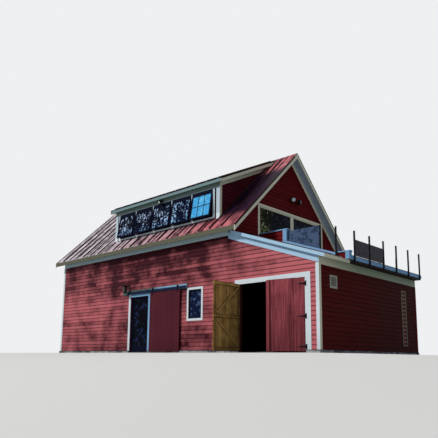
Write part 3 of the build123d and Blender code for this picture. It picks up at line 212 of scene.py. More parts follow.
# the same round the doors, with painted sky-blue light on the entry's right jamb
doorTrimPaint = boardFinish("whitePaintOnDoorCasings", **whiteTrim, zones=[
    ("X", -1.96, -1.93, "#5f8fbd", "#93c2e8"), ("X", -0.1, 0, "#bccfdc", "#eef6fb")])
# white paint at the eaves: dark green-grey on the fascia as painted shade, pale teal as painted
# skylight on the frieze
eavePaint = boardFinish("agedWhitePaintAtEaves", "#bcdcdf", "#e2f4f6", weatherShare=0.5,
                        zones=[("absY", 3.80, 3.84, "#555547", "#6f6f60")])
# white paint on the rake boards and the gable window, cream with painted warm light beside the
# white of the front
creamPaint = boardFinish("creamPaintOnRakeBoards", "#e4e0c6", "#fffbe4",
                         weatherShare=0.6, roughness=0.55)
# the lean-to's white boards: painted sky-blue light in front, painted light where the eave's shadow
# falls, painted warm light on the side, turning to painted green-grey shade towards the back
leanPaint = boardFinish(
    "whitePaintAtLeanTo", "#90bee2", "#c3def2", weatherShare=0.6, roughness=0.5,
    zones=[("X", 4.5, 4.3, "#a9daff", "#d2eeff"), ("facingX", 0.3, 0.7, "#e6e0c0", "#fdf6d8"),
           ("Y", -3.4, -1.2, "#8b9a84", "#a9b59c")])
# white paint of the vent and the strip on the shaded side, greyed as painted shade, darker on the
# strip at the back
ventPaint = boardFinish("dullWhitePaintOnVent", "#99968a", "#d2cdbd", weatherShare=0.8,
                        zones=[("Y", 2.0, 2.2, "#5a564b", "#9c957f")])
# the sliding door's track: a white board with painted sky-blue light, painted grey-green shade
# above the entry, and its navy steel rail
trackPaint = boardFinish(
    "trackBoardAndNavyRail", "#5f86a6", "#9dc6e4", roughness=0.5,
    zones=[("X", 0.1, -0.7, "#37453f", "#5d716c"), ("Y", -3.71, -3.72, "#080c20", "#1b2a4c")])
# kerb caps of the deck: white paint with pale blue painted skylight
kerbPaint = boardFinish("skyBlueWhitePaintOnDeckKerb", "#5d93c4", "#93bfe6",
                        weatherShare=0.6, roughness=0.45)
# the dormer's white boards: grey teal on the fascia and sage on the frieze as painted shade,
# a cool cast of painted skylight, painted light on the sill, and painted warm light facing +X
dormerPaint = boardFinish(
    "agedWhitePaintAtDormer", "#a3bbcb", "#d3e2ec", weatherShare=0.5, roughness=0.5,
    zones=[("Z", 5.42, 5.36, "#cfe4f2", "#f8fdff"), ("Z", 6.44, 6.47, "#72877c", "#8ea097"),
           ("Y", -3.47, -3.50, "#6d888c", "#809a9e"), ("facingX", 0.3, 0.7, "#e2dfc2", "#fffde6")])
# oiled pine of the left barn leaf: golden brown with darker grain and a tone for each board
oiledPine = boardFinish(
    "oiledPineBoards", "#4a2f12", "#e6b76c", level=False, grainMm=22, patchMm=240,
    weatherShare=1.0, grainShare=1.5, toneShare=0.2, dirt="#4a3a26", roughness=0.62, reliefMm=1.2)
# rough sawn framing boards inside: dull brown in the dark rooms
sawnFraming = boardFinish("roughSawnFraming", "#332a22", "#54463a", grainMm=14, weatherShare=0.4,
                          grainShare=0.5, dirt="#2f261d", roughness=0.8, reliefMm=1.5)
# cedar decking left to weather: silver grey boards, with painted shade in dark brown below
greyDecking = boardFinish(
    "weatheredCedarDecking", "#6d675f", "#9a948a", grainMm=10, weatherShare=0.4,
    grainShare=0.4, toneShare=0.35, dirt="#55504a", roughness=0.75, reliefMm=1.0,
    zones=[("facingZ", 0.6, 0.4, "#2a2020", "#3f3230")])
print("board finishes made")

# dark and pale each hold the colour near the eave and the ridge, in mid slope as painted shade, and
# where chalked with painted sunlight
roofLook = {
    "dark": ("#3c151e", "#150a1a", "#473c45"), "pale": ("#c9747c", "#2b1529", "#d9cdd6"),
    "eaveWear": (4.85, 5.35), "ridgeWear": (7.4, 7.8), "chalked": (2.6, -4.5),
    "soffit": "#b7cfe8", "soffitFacing": (-0.15, -0.25), "contrast": (-0.10, 0.09),
    "blotchMm": 350, "blotchShare": 0.45, "streak": (8, 0.45, 0.45), "roughness": 0.44,
    "reliefMm": 4, "bump": 0.35, "gloss": 0.04,
}


def roofFinish(name, **changes):
    # painted steel sheet: faded down the slope in long streaks, a little blotchy, with painted
    # shade in mid slope, and chalked pale, with painted sunlight, towards the end that the weather
    # reaches
    look = dict(roofLook, **changes)
    material, tree, shader, place = startMaterial(name)
    axes = addNode(tree, "SeparateXYZ", {0: place})
    streakPlace = addNode(tree, "Mapping", {"Vector": place}, {"Scale": look["streak"]})[0]
    streak = addNode(tree, "TexNoise", {"Vector": streakPlace},
                     {"Scale": 1, "Detail": 4, "Roughness": 0.6})[0]
    blotch = addNode(tree, "TexNoise", {"Vector": place},
                     {"Scale": 1000 / look["blotchMm"], "Detail": 5, "Roughness": 0.6})[0]
    both = addNode(tree, "Math", {0: blotch, 2: streak}, {1: look["blotchShare"]},
                   {"operation": "MULTIPLY_ADD"})[0]
    tints = []
    for edge, middle, chalky in (look["dark"], look["pale"]):
        tint = blend(tree, axes["Z"], edge, middle, *look["eaveWear"])
        tint = blend(tree, axes["Z"], tint, edge, *look["ridgeWear"])
        tints.append(blend(tree, axes["X"], tint, chalky, *look["chalked"]))
    half = 0.5 + look["blotchShare"] / 2
    colour = blend(tree, both, *tints, *(half + step for step in look["contrast"]))
    normal = addNode(tree, "NewGeometry")["Normal"]
    facing = addNode(tree, "SeparateXYZ", {0: normal})["Z"]
    colour = blend(tree, facing, colour, look["soffit"], *look["soffitFacing"])
    dress(tree, shader, look, colour, blotch, blotch)
    return material


# red painted steel roofing: worn to a pinkish grey with painted sunlight at the left end, still red
# at the right, with painted shade in mid slope
roofSteel = roofFinish("redPaintedRoofSteel")
# the lean-to's roof of the same steel: evenly faded, with streaks down its own slope
leanSteel = roofFinish("redPaintedLeanToSteel", dark=("#6a3034", "#150a1a", "#473c45"),
                       pale=("#a8666a", "#2b1529", "#d9cdd6"), eaveWear=(9, 9.5),
                       streak=(0.45, 8, 0.45), chalked=(9, -40))
# ribs and edge strips of the same steel: dark maroon as painted shade along them
ribSteel = roofFinish("darkMaroonRibSteel", dark=("#1c0a0e", "#14080c", "#150e15"),
                      pale=("#36161b", "#241015", "#2b2028"))
print("roof finishes made")

paneLook = {"dark": "#05081a", "sky": "#a9c0e4", "leafMm": 80, "crownMm": 420, "gap": (0.79, 0.88),
            "views": (), "roughness": 0.06, "gloss": 0.015}


def paneFinish(name, **changes):
    # window glass over a dark room: almost black, with painted reflections of sky between leaves
    look = dict(paneLook, **changes)
    material, tree, shader, place = startMaterial(name)
    axes = addNode(tree, "SeparateXYZ", {0: place})
    leaves = addNode(tree, "TexNoise", {"Vector": place},
                     {"Scale": 1000 / look["leafMm"], "Detail": 2, "Roughness": 0.6})[0]
    crown = addNode(tree, "TexNoise", {"Vector": place},
                    {"Scale": 1000 / look["crownMm"], "Detail": 2})[0]
    both = addNode(tree, "Math", {0: crown, 2: leaves}, {1: 0.5}, {"operation": "MULTIPLY_ADD"})[0]
    colour = blend(tree, both, look["dark"], look["sky"], *look["gap"])
    for axis, start, end, seen in look["views"]:  # other painted reflections towards the end of an axis
        view = blend(tree, both, *seen, *look["gap"])
        colour = blend(tree, axes[axis], colour, view, start, end)
    setInputs(tree, shader, {"Base Color": colour},
              {"Roughness": look["roughness"], "Specular IOR Level": look["gloss"]})
    return material


# dormer glass: near black with painted reflections of sky, bluer along the row, and a painted
# reflection of clear sky in the last sash
dormerPane = paneFinish("dormerWindowGlass", views=[
    ("X", -0.8, 1.4, ("#0a1230", "#8fb9e4")), ("Z", 5.75, 5.35, ("#0b1434", "#8cbbe8")),
    ("X", 1.49, 1.51, ("#46a8e6", "#74cbfb"))])
# the front window: dark navy with soft lighter patches of painted sky reflection
windowPane = paneFinish("wallWindowGlass", dark="#101a38", sky="#56709a", leafMm=200,
                        crownMm=900, gap=(0.76, 0.90))
# glass of the entry door: almost black, as the room behind it is dark, with faint painted
# reflections
entryPane = paneFinish("entryDoorGlass", dark="#07070f", sky="#1d2b52", leafMm=110, crownMm=600,
                       gap=(0.82, 0.91))
# glass of the gable: black with a painted reflection of leaves in yellow green at its near end
gablePane = paneFinish("gableWindowGlass", dark="#10131f", sky="#3f4459", leafMm=90, crownMm=500,
                       gap=(0.80, 0.90), views=[("Y", -1.2, -1.6, ("#1b2318", "#b4b67c"))])
# smoked acrylic of the deck panels: slate blue as painted sky reflection in front, dark plum as
# painted shade along the side
smokedPane = paneFinish("smokedAcrylicPanel", dark="#2e3e58", sky="#4a5f80", leafMm=160,
                        crownMm=900, gap=(0.66, 0.80), gloss=0.05,
                        views=[("X", 7.6, 7.8, ("#191525", "#352d41"))])
print("glass finishes made")

plainLook = {"metallic": 0, "toneShare": 0.35, "bump": 0.4, "gloss": 0.05}


def plainFinish(name, dark, pale, **changes):
    # one surface with fine unevenness: cast, powder coated or poured
    look = dict(plainLook, **changes)
    material, tree, shader, place = startMaterial(name)
    mottle = addNode(tree, "TexNoise", {"Vector": place},
                     {"Scale": 1000 / look["mottleMm"], "Detail": 5, "Roughness": 0.6})[0]
    tone = addNode(tree, "Attribute", settings={"attribute_name": "tone"})["Fac"]
    shade = addNode(tree, "Math", {0: tone, 2: mottle}, {1: look["toneShare"]},
                    {"operation": "MULTIPLY_ADD"})[0]
    dress(tree, shader, look, blend(tree, shade, dark, pale), mottle, mottle)
    shader.inputs["Metallic"].default_value = look["metallic"]
    return material


# rubble stone of the base: blue grey to buff, rough and uneven
rubbleStone = plainFinish("rubbleStone", "#3c404c", "#b0b2b6", mottleMm=60,
                          roughness=0.85, reliefMm=6)
# lime mortar behind the stones: darker and sandy
limeMortar = plainFinish("limeMortar", "#2a2c33", "#4d4c4c", mottleMm=25, roughness=0.9, reliefMm=2)
# poured concrete floor: trowelled grey, dusty
pouredConcrete = plainFinish("pouredConcrete", "#4d4b49", "#6c6a66", mottleMm=220,
                             roughness=0.75, reliefMm=1)
# black powder coated steel of hinges, posts and lamps: half matt
blackSteel = plainFinish("blackPowderCoatedSteel", "#0a0b10", "#1c1d26", mottleMm=8,
                         metallic=0.1, roughness=0.5, reliefMm=0.2)
# dark bronze paint on window sashes and the entry door: satin, with a painted navy cast of skylight
bronzePaint = plainFinish("darkBronzeSashPaint", "#080a18", "#141830", mottleMm=90,
                          roughness=0.4, reliefMm=0.2, gloss=0.01)
# frosted lens glass of the lamps: milky white
lensGlass = plainFinish("frostedLensGlass", "#cfd4d6", "#f0f2f2", mottleMm=12,
                        roughness=0.25, reliefMm=0.3, gloss=0.3)
# lantern glass: smoky with a warm cast
lanternGlass = plainFinish("lanternGlass", "#2a2d30", "#5a5850", mottleMm=60,
                           roughness=0.12, reliefMm=0.1, gloss=0.3)

# a wall's own solid: red outside under the clapboards, and sawn framing inside the rooms
wallLook = {"paint": ("#4c1118", "#6c1f26"), "wood": ("#241c14", "#3f3223"), "insideX": 7.55,
            "insideY": 3.57, "grain": (60, 60, 3), "roughness": 0.7, "gloss": 0.15, "bump": 0.4,
            "relief": 0.001}
wallBody, tree, shader, place = startMaterial("paintedWallWithSawnInside")
spread = addNode(tree, "VectorMath", {0: place}, settings={"operation": "ABSOLUTE"})[0]
reach = addNode(tree, "SeparateXYZ", {0: spread})
inX = addNode(tree, "Math", {0: reach["X"]}, {1: wallLook["insideX"]},
              {"operation": "LESS_THAN"})[0]
inY = addNode(tree, "Math", {0: reach["Y"]}, {1: wallLook["insideY"]},
              {"operation": "LESS_THAN"})[0]
inside = addNode(tree, "Math", {0: inX, 1: inY}, settings={"operation": "MULTIPLY"})[0]
grainPlace = addNode(tree, "Mapping", {"Vector": place}, {"Scale": wallLook["grain"]})[0]
grain = addNode(tree, "TexNoise", {"Vector": grainPlace}, {"Scale": 1, "Detail": 3})[0]
colour = blend(tree, inside, blend(tree, grain, *wallLook["paint"]),
               blend(tree, grain, *wallLook["wood"]))
bump = addNode(tree, "Bump", {"Height": grain},
               {"Strength": wallLook["bump"], "Distance": wallLook["relief"]})[0]
setInputs(tree, shader, {"Base Color": colour, "Normal": bump},
          {"Roughness": wallLook["roughness"], "Specular IOR Level": wallLook["gloss"]})
print("wall, stone and metal finishes made")

nodeFinishes = [
    (limeMortar, "foundation"), (pouredConcrete, "ground_floor"), (sawnFraming, "loft_floor"),
    (wallBody, "front_wall_left front_wall_entry_head front_wall_middle lean_to_front_post "
     "barn_door_head front_wall_right back_wall lean_to_back_wall lean_to_side_wall "
     "left_gable_wall right_gable_wall"), (stainedPaint, "dormer_front_wall"),
    (roofSteel, "main_roof_front main_roof_back ridge_cap dormer_roof"),
    (leanSteel, "lean_to_roof"), (ribSteel, "roof_edging"), (cheekPaint, "dormer_cheeks"),
    (greyDecking, "deck_floor"), (shadePaint, "deck_front_wall back_corner_boards"),
    (eavePaint, "eave_trim"), (creamPaint, "rake_boards gable_window_frame"),
    (trimPaint, "front_corner_boards front_window_frame"), (leanPaint, "lean_to_trim"),
    (kerbPaint, "deck_trim"), (dormerPaint, "dormer_trim"), (doorTrimPaint, "door_trim"),
    (ventPaint, "side_vent side_strip"), (trackPaint, "slide_track"),
    (smokedPane, "deck_front_panel deck_side_panels"), (dormerPane, "dormer_glass"),
    (windowPane, "front_window_glass"), (gablePane, "gable_window_glass"),
    (entryPane, "entry_door_glass"), (bronzePaint, "dormer_sashes front_window_sash entry_door"),
    (sliderPaint, "sliding_door"), (oiledPine, "barn_door_left"), (doorPaint, "barn_door_right"),
    (blackSteel, "deck_posts sliding_door_hangers barn_door_left_hinges door_lantern "
     "barn_door_right_hinges door_pintles entry_door_hinges flood_lamps"),
]
for finish, names in nodeFinishes:
    for name in names.split():
        nodes[name].data.materials.clear()
        nodes[name].data.materials.append(finish)
print("finishes on the nodes")


def startPiece():
    bm = bmesh.new()
    bm.faces.layers.float.new("tone")
    return bm


def mould(bm, place, tone=0.0):
    # a block whose eight corners go where place says, each way from -1 to 1
    corners = bmesh.ops.create_cube(bm, size=2)["verts"]
    for corner in corners:
        corner.co = place(*corner.co)
    layer = bm.faces.layers.float["tone"]
    for face in dict.fromkeys(f for corner in corners for f in corner.link_faces):
        face[layer] = tone
    return corners


def block(bm, low, high, tone=0.0, put=lambda *place: Vector(place)):
    # a block from its low corner to its high one, in whatever directions put goes
    return mould(bm, lambda *way: put(*(high[n] if way[n] > 0 else low[n] for n in range(3))),
                 tone)


def edgesOf(corners, axis=None):
    # a block's edges, or only the long ones that run along an axis
    edges = dict.fromkeys(e for corner in corners for e in corner.link_edges)
    return [e for e in edges
            if axis is None or abs(e.verts[0].co[axis] - e.verts[1].co[axis]) > 1]


def ease(bm, edges, offset, segments=1):
    return bmesh.ops.bevel(bm, geom=edges, offset=offset, segments=segments, profile=0.5,
                           affect="EDGES", material=-1)["faces"]


def board(bm, low, high, axis, groove, tone, **put):
    # a board that runs along an axis, with its long edges eased
    ease(bm, edgesOf(block(bm, low, high, tone, **put), axis), groove)


def addObject(name, data):
    thing = bpy.data.objects.new(name, data)
    bpy.context.scene.collection.objects.link(thing)
    return thing


def addMesh(bm, name, materials):
    mesh = bpy.data.meshes.new(name)
    bm.to_mesh(mesh)
    bm.free()
    for material in materials:
        mesh.materials.append(material)
    return addObject(name, mesh)


def finishPiece(bm, name, materials, body="house", stands=()):
    bmesh.ops.recalc_face_normals(bm, faces=bm.faces)
    piece = addMesh(bm, name, materials)
    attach(piece, body)
    if stands:
        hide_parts(*stands)
    return piece


onFace = {  # a point u along a wall, z up, and out from its face
    "front": lambda at, u, z, out: Vector((u, at - out, z)),
    "back": lambda at, u, z, out: Vector((u, at + out, z)),
    "right": lambda at, u, z, out: Vector((at + out, u, z)),
    "left": lambda at, u, z, out: Vector((at - out, u, z)),
}


def openSpans(wall, z):
    # the lengths of wall that are boarded at height z, each end with its own edge line
    spans = [(wall["start"], wall["end"])]
    for holeStart, holeEnd, low, high in wall["holes"]:
        if low < z < high:
            cut = []
            for start, end in spans:
                if end(z) <= holeStart or start(z) >= holeEnd:
                    cut.append((start, end))
                    continue
                if start(z) < holeStart:
                    cut.append((start, lambda h, edge=holeStart: edge))
                if end(z) > holeEnd:
                    cut.append((lambda h, edge=holeEnd: edge, end))
            spans = cut
    return spans


def layClapboards(name, own, seed):
    wall = dict({"holes": (), "bends": (), "paint": shadePaint}, **own)
    rng = random.Random(seed)
    bm = startPiece()
    put = onFace[wall["faces"]]
    course, gap, limit = siding["course"], siding["joint"] / 2, siding["toneLimit"]
    row = int((wall["bottom"] - barn["base"]) / course + siding["rounding"])
    while barn["base"] + row * course < wall["top"] - siding["leastRow"]:
        courseLow = barn["base"] + row * course
        low, high = max(courseLow, wall["bottom"]), min(courseLow + course, wall["top"])
        joints = [-siding["beyond"]]  # boards run past a wall's ends, and are cut off there
        u = -siding["reach"] + rng.uniform(0, siding["longest"])
        while u < siding["reach"]:
            joints.append(u)
            u += rng.uniform(siding["shortest"], siding["longest"])
        joints.append(siding["beyond"])
        tones = [max(-limit, min(limit, rng.gauss(0, siding["toneSpread"]))) for _ in joints]
        breaks = set(wall["bends"]).union(*(hole[2:] for hole in wall["holes"]))
        thin = siding["thinnest"]
        cuts = [low] + sorted(z for z in breaks if low + thin < z < high - thin) + [high]
        for bandLow, bandHigh in zip(cuts, cuts[1:]):
            for start, end in openSpans(wall, (bandLow + bandHigh) / 2):
                for n, tone in enumerate(tones[:-1]):
                    boardStart, boardEnd = joints[n] + gap, joints[n + 1] - gap
                    lengths = [min(boardEnd, end(z)) - max(boardStart, start(z))
                               for z in (bandLow, bandHigh)]
                    if max(lengths) < siding["narrowest"] or min(lengths) < 0:
                        continue

                    def place(i, j, k):
                        z = bandLow if k < 0 else bandHigh
                        u = max(boardStart, start(z)) if i < 0 else min(boardEnd, end(z))
                        lap = (siding["butt"] - siding["tip"]) * (1 - (z - courseLow) / course)
                        return put(wall["at"], u, z, siding["tip"] + lap if j > 0 else 0)

                    mould(bm, place, tone)
        row += 1
    finishPiece(bm, name, [wall["paint"]])


def leanEdge(z):
    # how far along the front the lean-to roof comes down to z
    return barn["gable"] + (barn["leanTop"] - z) / barn["leanSlope"]


# where boards end under the roofs: a gable's peak and its least half width, the depth of the
# dormer's roof, and how near the ridge a cheek goes
under = {"peak": 8.24, "peakHalf": 0.01, "dormerDeep": 0.15, "ridgeClear": -0.2}


def gableReach(z):
    # half the width of a gable at height z
    reach = (under["peak"] - z) / barn["roofSlope"]
    return min(barn["back"], max(under["peakHalf"], reach))


def cheekStart(z):
    # the dormer roof's underside, or the dormer's front wall below it
    underside = (z + under["dormerDeep"] - barn["ridge"]) / barn["dormerSlope"]
    return max(barn["dormerFront"], underside)


def cheekEnd(z):
    return min(under["ridgeClear"], (z - barn["ridge"]) / barn["roofSlope"])


# start and end are a wall's edges at height z, and holes are start, end, low, high
gable = {"top": 8.05, "start": lambda z: -gableReach(z), "end": gableReach, "bends": [4.703]}
cheek = {"bottom": 5.20, "top": 8.15, "start": cheekStart, "end": cheekEnd, "bends": [6.669],
         "paint": cheekPaint}
walls = {
    "frontClapboards": {
        "faces": "front", "at": barn["front"], "bottom": barn["base"], "top": 4.34,
        "start": lambda z: barn["left"], "paint": clapboardPaint,
        "end": lambda z: min(barn["right"], leanEdge(z + barn["leanUnder"])),
        "bends": [leanZ(barn["right"]) - barn["leanUnder"]],
        "holes": [(-2.035, -0.695, 0, 2.485), (1.66, 2.44, 1.295, 2.49), (4.215, 7.215, 0, 2.52)],
    },
    "sideClapboards": {
        "faces": "right", "at": barn["right"], "bottom": barn["base"], "top": barn["sideTop"],
        "start": lambda z: barn["front"], "end": lambda z: barn["back"], "paint": sidePaint,
        "holes": [(-3.005, -2.595, 2.125, 2.515), (2.30, 2.68, 0.37, 2.52)],
    },
    "backClapboards": {
        "faces": "back", "at": barn["back"], "bottom": barn["base"], "top": 4.34,
        "start": lambda z: barn["left"],
        "end": lambda z: barn["right"] if z < barn["sideTop"] else barn["gable"],
        "bends": [barn["sideTop"]],
    },
    "leftGableClapboards": dict(gable, faces="left", at=barn["left"], bottom=barn["base"]),
    "rightGableClapboards": dict(gable, faces="right", at=barn["gable"], bottom=barn["deckFloor"],
                                 holes=[(-2.225, 2.295, 3.0, 5.80)]),
    "rightCheekClapboards": dict(cheek, faces="right", at=barn["dormerRight"]),
    "leftCheekClapboards": dict(cheek, faces="left", at=barn["dormerLeft"]),
    "dormerFrontClapboards": {
        "faces": "front", "at": barn["dormerFront"], "bottom": 5.20, "top": 6.44,
        "start": lambda z: barn["dormerLeft"], "end": lambda z: barn["dormerRight"],
        "holes": [(-3.41, 2.73, 5.24, 6.60)], "paint": stainedPaint,
    },
    "deckWallClapboards": {
        "faces": "front", "at": barn["deckFront"], "bottom": 3.30, "top": 4.56,
        "start": lambda z: leanEdge(min(z, barn["leanTop"])) - 0.1,
        "end": lambda z: 5.25, "bends": [barn["leanTop"], 4.03],
    },
    "deckInnerClapboards": {
        "faces": "back", "at": barn["deckFront"] + 0.12, "bottom": 3.33, "top": 4.56,
        "start": lambda z: barn["gable"] + 0.03, "bends": [3.40, 4.13],
        "end": lambda z: min(7.88, leanEdge(z - 0.13)) if z < 4.13 else 5.34,
    },
}
for seed, (name, wall) in enumerate(walls.items(), 21):
    layClapboards(name, wall, seed)
print("clapboards laid on", len(walls), "walls")

# standing ribs of the steel roofs; foot and head are distances from the ridge line
ribs = {"pitch": 0.6085, "first": -7.88, "count": 19, "base": 0.070, "top": 0.034,
        "height": 0.042, "sunk": 0.004, "foot": 3.97, "head": 0.175, "dormerWall": 3.39,
        "dormerSides": (-3.72, 3.06), "aboveDormer": 0.46, "dormerRoof": (-3.97, 3.31),
        "dormerRibs": (-3.86, 3.20), "dormerFoot": 3.52, "leanTo": (-3.24, -2.73),
        "leanHead": 4.06, "leanFoot": 7.89}


def addRib(bm, start, end, up):
    # a rib, wide at its foot, from start to end on a slope that faces up
    side = up.cross((end - start).normalized())

    def place(i, j, k):
        width = ribs["base"] if j < 0 else ribs["top"]
        rise = -ribs["sunk"] if j < 0 else ribs["height"]
        return (start if k < 0 else end) + side * (i * width / 2) + up * rise

    mould(bm, place)


def addSlopeRib(bm, x, way, foot, head, slope):
    # a rib down the front slope, where way is -1, or down the back one
    start, end = (Vector((x, way * y, barn["ridge"] - slope * y)) for y in (foot, head))
    addRib(bm, start, end, Vector((0, way * slope, 1)).normalized())


ribLines = [ribs["first"] + ribs["pitch"] * (n + 1) for n in range(ribs["count"])]
bm = startPiece()
for x in ribLines:
    head = ribs["head"]
    addSlopeRib(bm, x, 1, ribs["foot"], head, barn["roofSlope"])
    if ribs["dormerRoof"][0] < x < ribs["dormerRoof"][1]:
        head = ribs["aboveDormer"]
    if ribs["dormerSides"][0] < x < ribs["dormerSides"][1]:
        head = ribs["dormerWall"]
    addSlopeRib(bm, x, -1, ribs["foot"], head, barn["roofSlope"])
finishPiece(bm, "mainRoofRibs", [ribSteel])

bm = startPiece()
for x in ribLines:
    if ribs["dormerRibs"][0] < x < ribs["dormerRibs"][1]:
        addSlopeRib(bm, x, -1, ribs["dormerFoot"], ribs["head"], barn["dormerSlope"])
finishPiece(bm, "dormerRoofRibs", [ribSteel])

bm = startPiece()
for y in ribs["leanTo"]:
    head, foot = (Vector((x, y, leanZ(x))) for x in (ribs["leanHead"], ribs["leanFoot"]))
    addRib(bm, head, foot, Vector((barn["leanSlope"], 0, 1)).normalized())
finishPiece(bm, "leanToRoofRibs", [ribSteel])

# the dormer's drip edge, in the same dark steel as painted shade along the eave
dripEdge = {"left": -3.93, "right": 3.27, "front": -3.556, "back": -3.52, "low": 6.685,
            "high": 6.737, "lengths": 3, "lap": 0.002, "bend": 0.006}
bm = startPiece()
length = (dripEdge["right"] - dripEdge["left"]) / dripEdge["lengths"]
for n in range(dripEdge["lengths"]):
    start = dripEdge["left"] + n * length
    corners = block(bm, (start + dripEdge["lap"] / 2, dripEdge["front"], dripEdge["low"]),
                    (start + length - dripEdge["lap"] / 2, dripEdge["back"], dripEdge["high"]))
    middle = (dripEdge["front"] + dripEdge["back"]) / 2
    front = [e for e in edgesOf(corners, 0) if e.verts[0].co.y < middle]
    ease(bm, front, dripEdge["bend"], 2)
finishPiece(bm, "dormerDripEdge", [ribSteel])
print("roof ribs and drip edge laid")

# the base's stones; they lie flat where an open leaf folds back over them
rubble = {"shortest": 0.16, "longest": 0.46, "gap": 0.012, "low": 0.012, "top": (0.095, 0.116),
          "jog": 0.008, "jogOut": 40, "least": 0.05, "deep": 0.03, "ease": 0.01,
          "proud": 0.012, "flat": 0.002, "seed": 5,
          "at": {"front": -3.69, "back": 3.69, "right": 7.66, "left": -7.66}}


def layStones(bm, rng, side, start, end, proud):
    # one course of stones along a side, each a bevelled block knocked out of square
    u = start
    while u < end - rubble["least"]:
        stone = min(end, u + rng.uniform(rubble["shortest"], rubble["longest"]))
        if end - stone < rubble["shortest"]:
            stone = end
        top = rng.uniform(*rubble["top"])
        jog = [rng.uniform(-rubble["jog"], rubble["jog"]) for _ in range(4)]
        half = rubble["gap"] / 2

        def place(i, j, k):
            along = u + half + jog[0] if i < 0 else stone - half + jog[1]
            height = rubble["low"] if k < 0 else top + i * jog[2] / 2
            out = proud * (1 + jog[3] * rubble["jogOut"]) if j > 0 else -rubble["deep"]
            return onFace[side](rubble["at"][side], along, height, out)

        ease(bm, edgesOf(mould(bm, place, rng.uniform(-1, 1))), rubble["ease"], 2)
        u = stone


bm = startPiece()
rng = random.Random(rubble["seed"])
for side, start, end, depth in (
    ("front", -7.66, -1.98, "proud"), ("front", -0.75, 2.85, "proud"),
    ("front", 2.85, 4.31, "flat"), ("front", 7.12, 7.66, "flat"),
    ("back", -7.66, 7.66, "proud"), ("right", -3.69, 3.69, "proud"),
    ("left", -3.69, 3.69, "proud"),
):
    layStones(bm, rng, side, start, end, rubble[depth])
finishPiece(bm, "baseStones", [rubbleStone])
print("base stones laid")

# a ledged and braced leaf; start and end run along it from the pin, and near and far through it
leaf = {"bottom": 0.075, "top": 2.43, "start": 0.010, "end": 1.390, "boards": 10, "gap": 0.003,
        "endGap": 0.0015, "groove": 0.004, "ledge": 0.13, "ledgeInset": 0.010, "near": 0.012,
        "far": 0.042, "ledgeFar": 0.067, "chamfer": 0.016, "grime": -2.4, "brace": 45,
        "batten": 0.11, "battenNear": -0.033, "battenTone": 0.9, "toneSpread": 0.6,
        "ledgeSpread": 0.5, "outerFacing": -0.5}
leaves = {
    "leftBarnLeaf": {"pin": (4.32, -3.687, 0), "turn": 88, "inward": 1, "batten": False, "seed": 12,
                     "materials": [oiledPine, doorPaint], "stands": "barn_door_left"},
    "rightBarnLeaf": {"pin": (7.11, -3.687, 0), "turn": 9, "inward": -1, "batten": True, "seed": 13,
                      "materials": [doorPaint], "stands": "barn_door_right"},
}


def layDoorBoards(bm, rng, door, **put):
    # a door's upright boards, a gap apart, and endGap in from its two sides
    width, half = (door["end"] - door["start"]) / door["boards"], door["gap"] / 2
    for n in range(door["boards"]):
        low = door["start"] + n * width + (half if n else door["endGap"])
        last = n == door["boards"] - 1
        high = door["start"] + (n + 1) * width - (door["endGap"] if last else half)
        board(bm, (low, door["near"], door["bottom"]), (high, door["far"], door["top"]), 2,
              door["groove"], rng.gauss(0, door["toneSpread"]), **put)


def chamferOuter(bm, corners, through):
    # chamfers round the face of a ledge or brace, darkened as painted shade along its edges
    face = max(dict.fromkeys(f for c in corners for f in c.link_faces),
               key=lambda f: f.calc_center_median().dot(through))
    for strip in ease(bm, list(face.edges), leaf["chamfer"]):
        strip[bm.faces.layers.float["tone"]] = leaf["grime"]


for name, own in leaves.items():
    bm = startPiece()
    rng = random.Random(own["seed"])
    turn, inward = math.radians(own["turn"]), own["inward"]
    along = Vector((inward * math.cos(turn), -math.sin(turn), 0))
    through = Vector((-along.y, along.x, 0)) * inward  # towards the leaf's ledges

    def at(u, depth, z):
        return Vector(own["pin"]) + along * u + through * depth + Vector((0, 0, z))

    layDoorBoards(bm, rng, leaf, put=at)
    half = leaf["ledge"] / 2
    ledges = [leaf["bottom"] + half, (leaf["bottom"] + leaf["top"]) / 2, leaf["top"] - half]
    start, end = leaf["start"] + leaf["ledgeInset"], leaf["end"] - leaf["ledgeInset"]
    for z in ledges:
        corners = block(bm, (start, leaf["far"], z - half), (end, leaf["ledgeFar"], z + half),
                        rng.gauss(0, leaf["ledgeSpread"]), at)
        chamferOuter(bm, corners, through)
    braceWidth = leaf["ledge"] / math.cos(math.radians(leaf["brace"]))
    for lower, upper, foot, head in ((0, 1, start, end - braceWidth),
                                     (1, 2, end - braceWidth, start)):
        def place(i, j, k):
            return at((foot if k < 0 else head) + (0 if i < 0 else braceWidth),
                      leaf["far"] if j < 0 else leaf["ledgeFar"],
                      ledges[lower] + half if k < 0 else ledges[upper] - half)

        chamferOuter(bm, mould(bm, place, rng.gauss(0, leaf["ledgeSpread"])), through)
    if own["batten"]:  # it covers the joint between the leaves
        block(bm, (leaf["end"] - leaf["batten"], leaf["battenNear"], leaf["bottom"]),
              (leaf["end"], leaf["near"], leaf["top"]), leaf["battenTone"], at)
    piece = finishPiece(bm, name, own["materials"], own["stands"] + "_leaf",
                        [own["stands"]])
    if len(own["materials"]) > 1:  # the outer face keeps its red paint
        for face in piece.data.polygons:
            face.material_index = int(face.normal.dot(through) < leaf["outerFacing"])
print("barn door leaves built")

slider = {"start": -0.56, "end": 1.27, "near": -3.752, "far": -3.71, "bottom": 0.08, "top": 2.50,
          "boards": 13, "gap": 0.003, "endGap": 0, "groove": 0.004, "toneSpread": 0.6, "seed": 8}
bm = startPiece()
layDoorBoards(bm, random.Random(slider["seed"]), slider)
finishPiece(bm, "slidingDoorBoards", [sliderPaint], "sliding_door_panel",
            ["sliding_door"])


dome = {"rises": (0.7, 0.3), "inset": 0.3}  # a domed face's two rings inwards


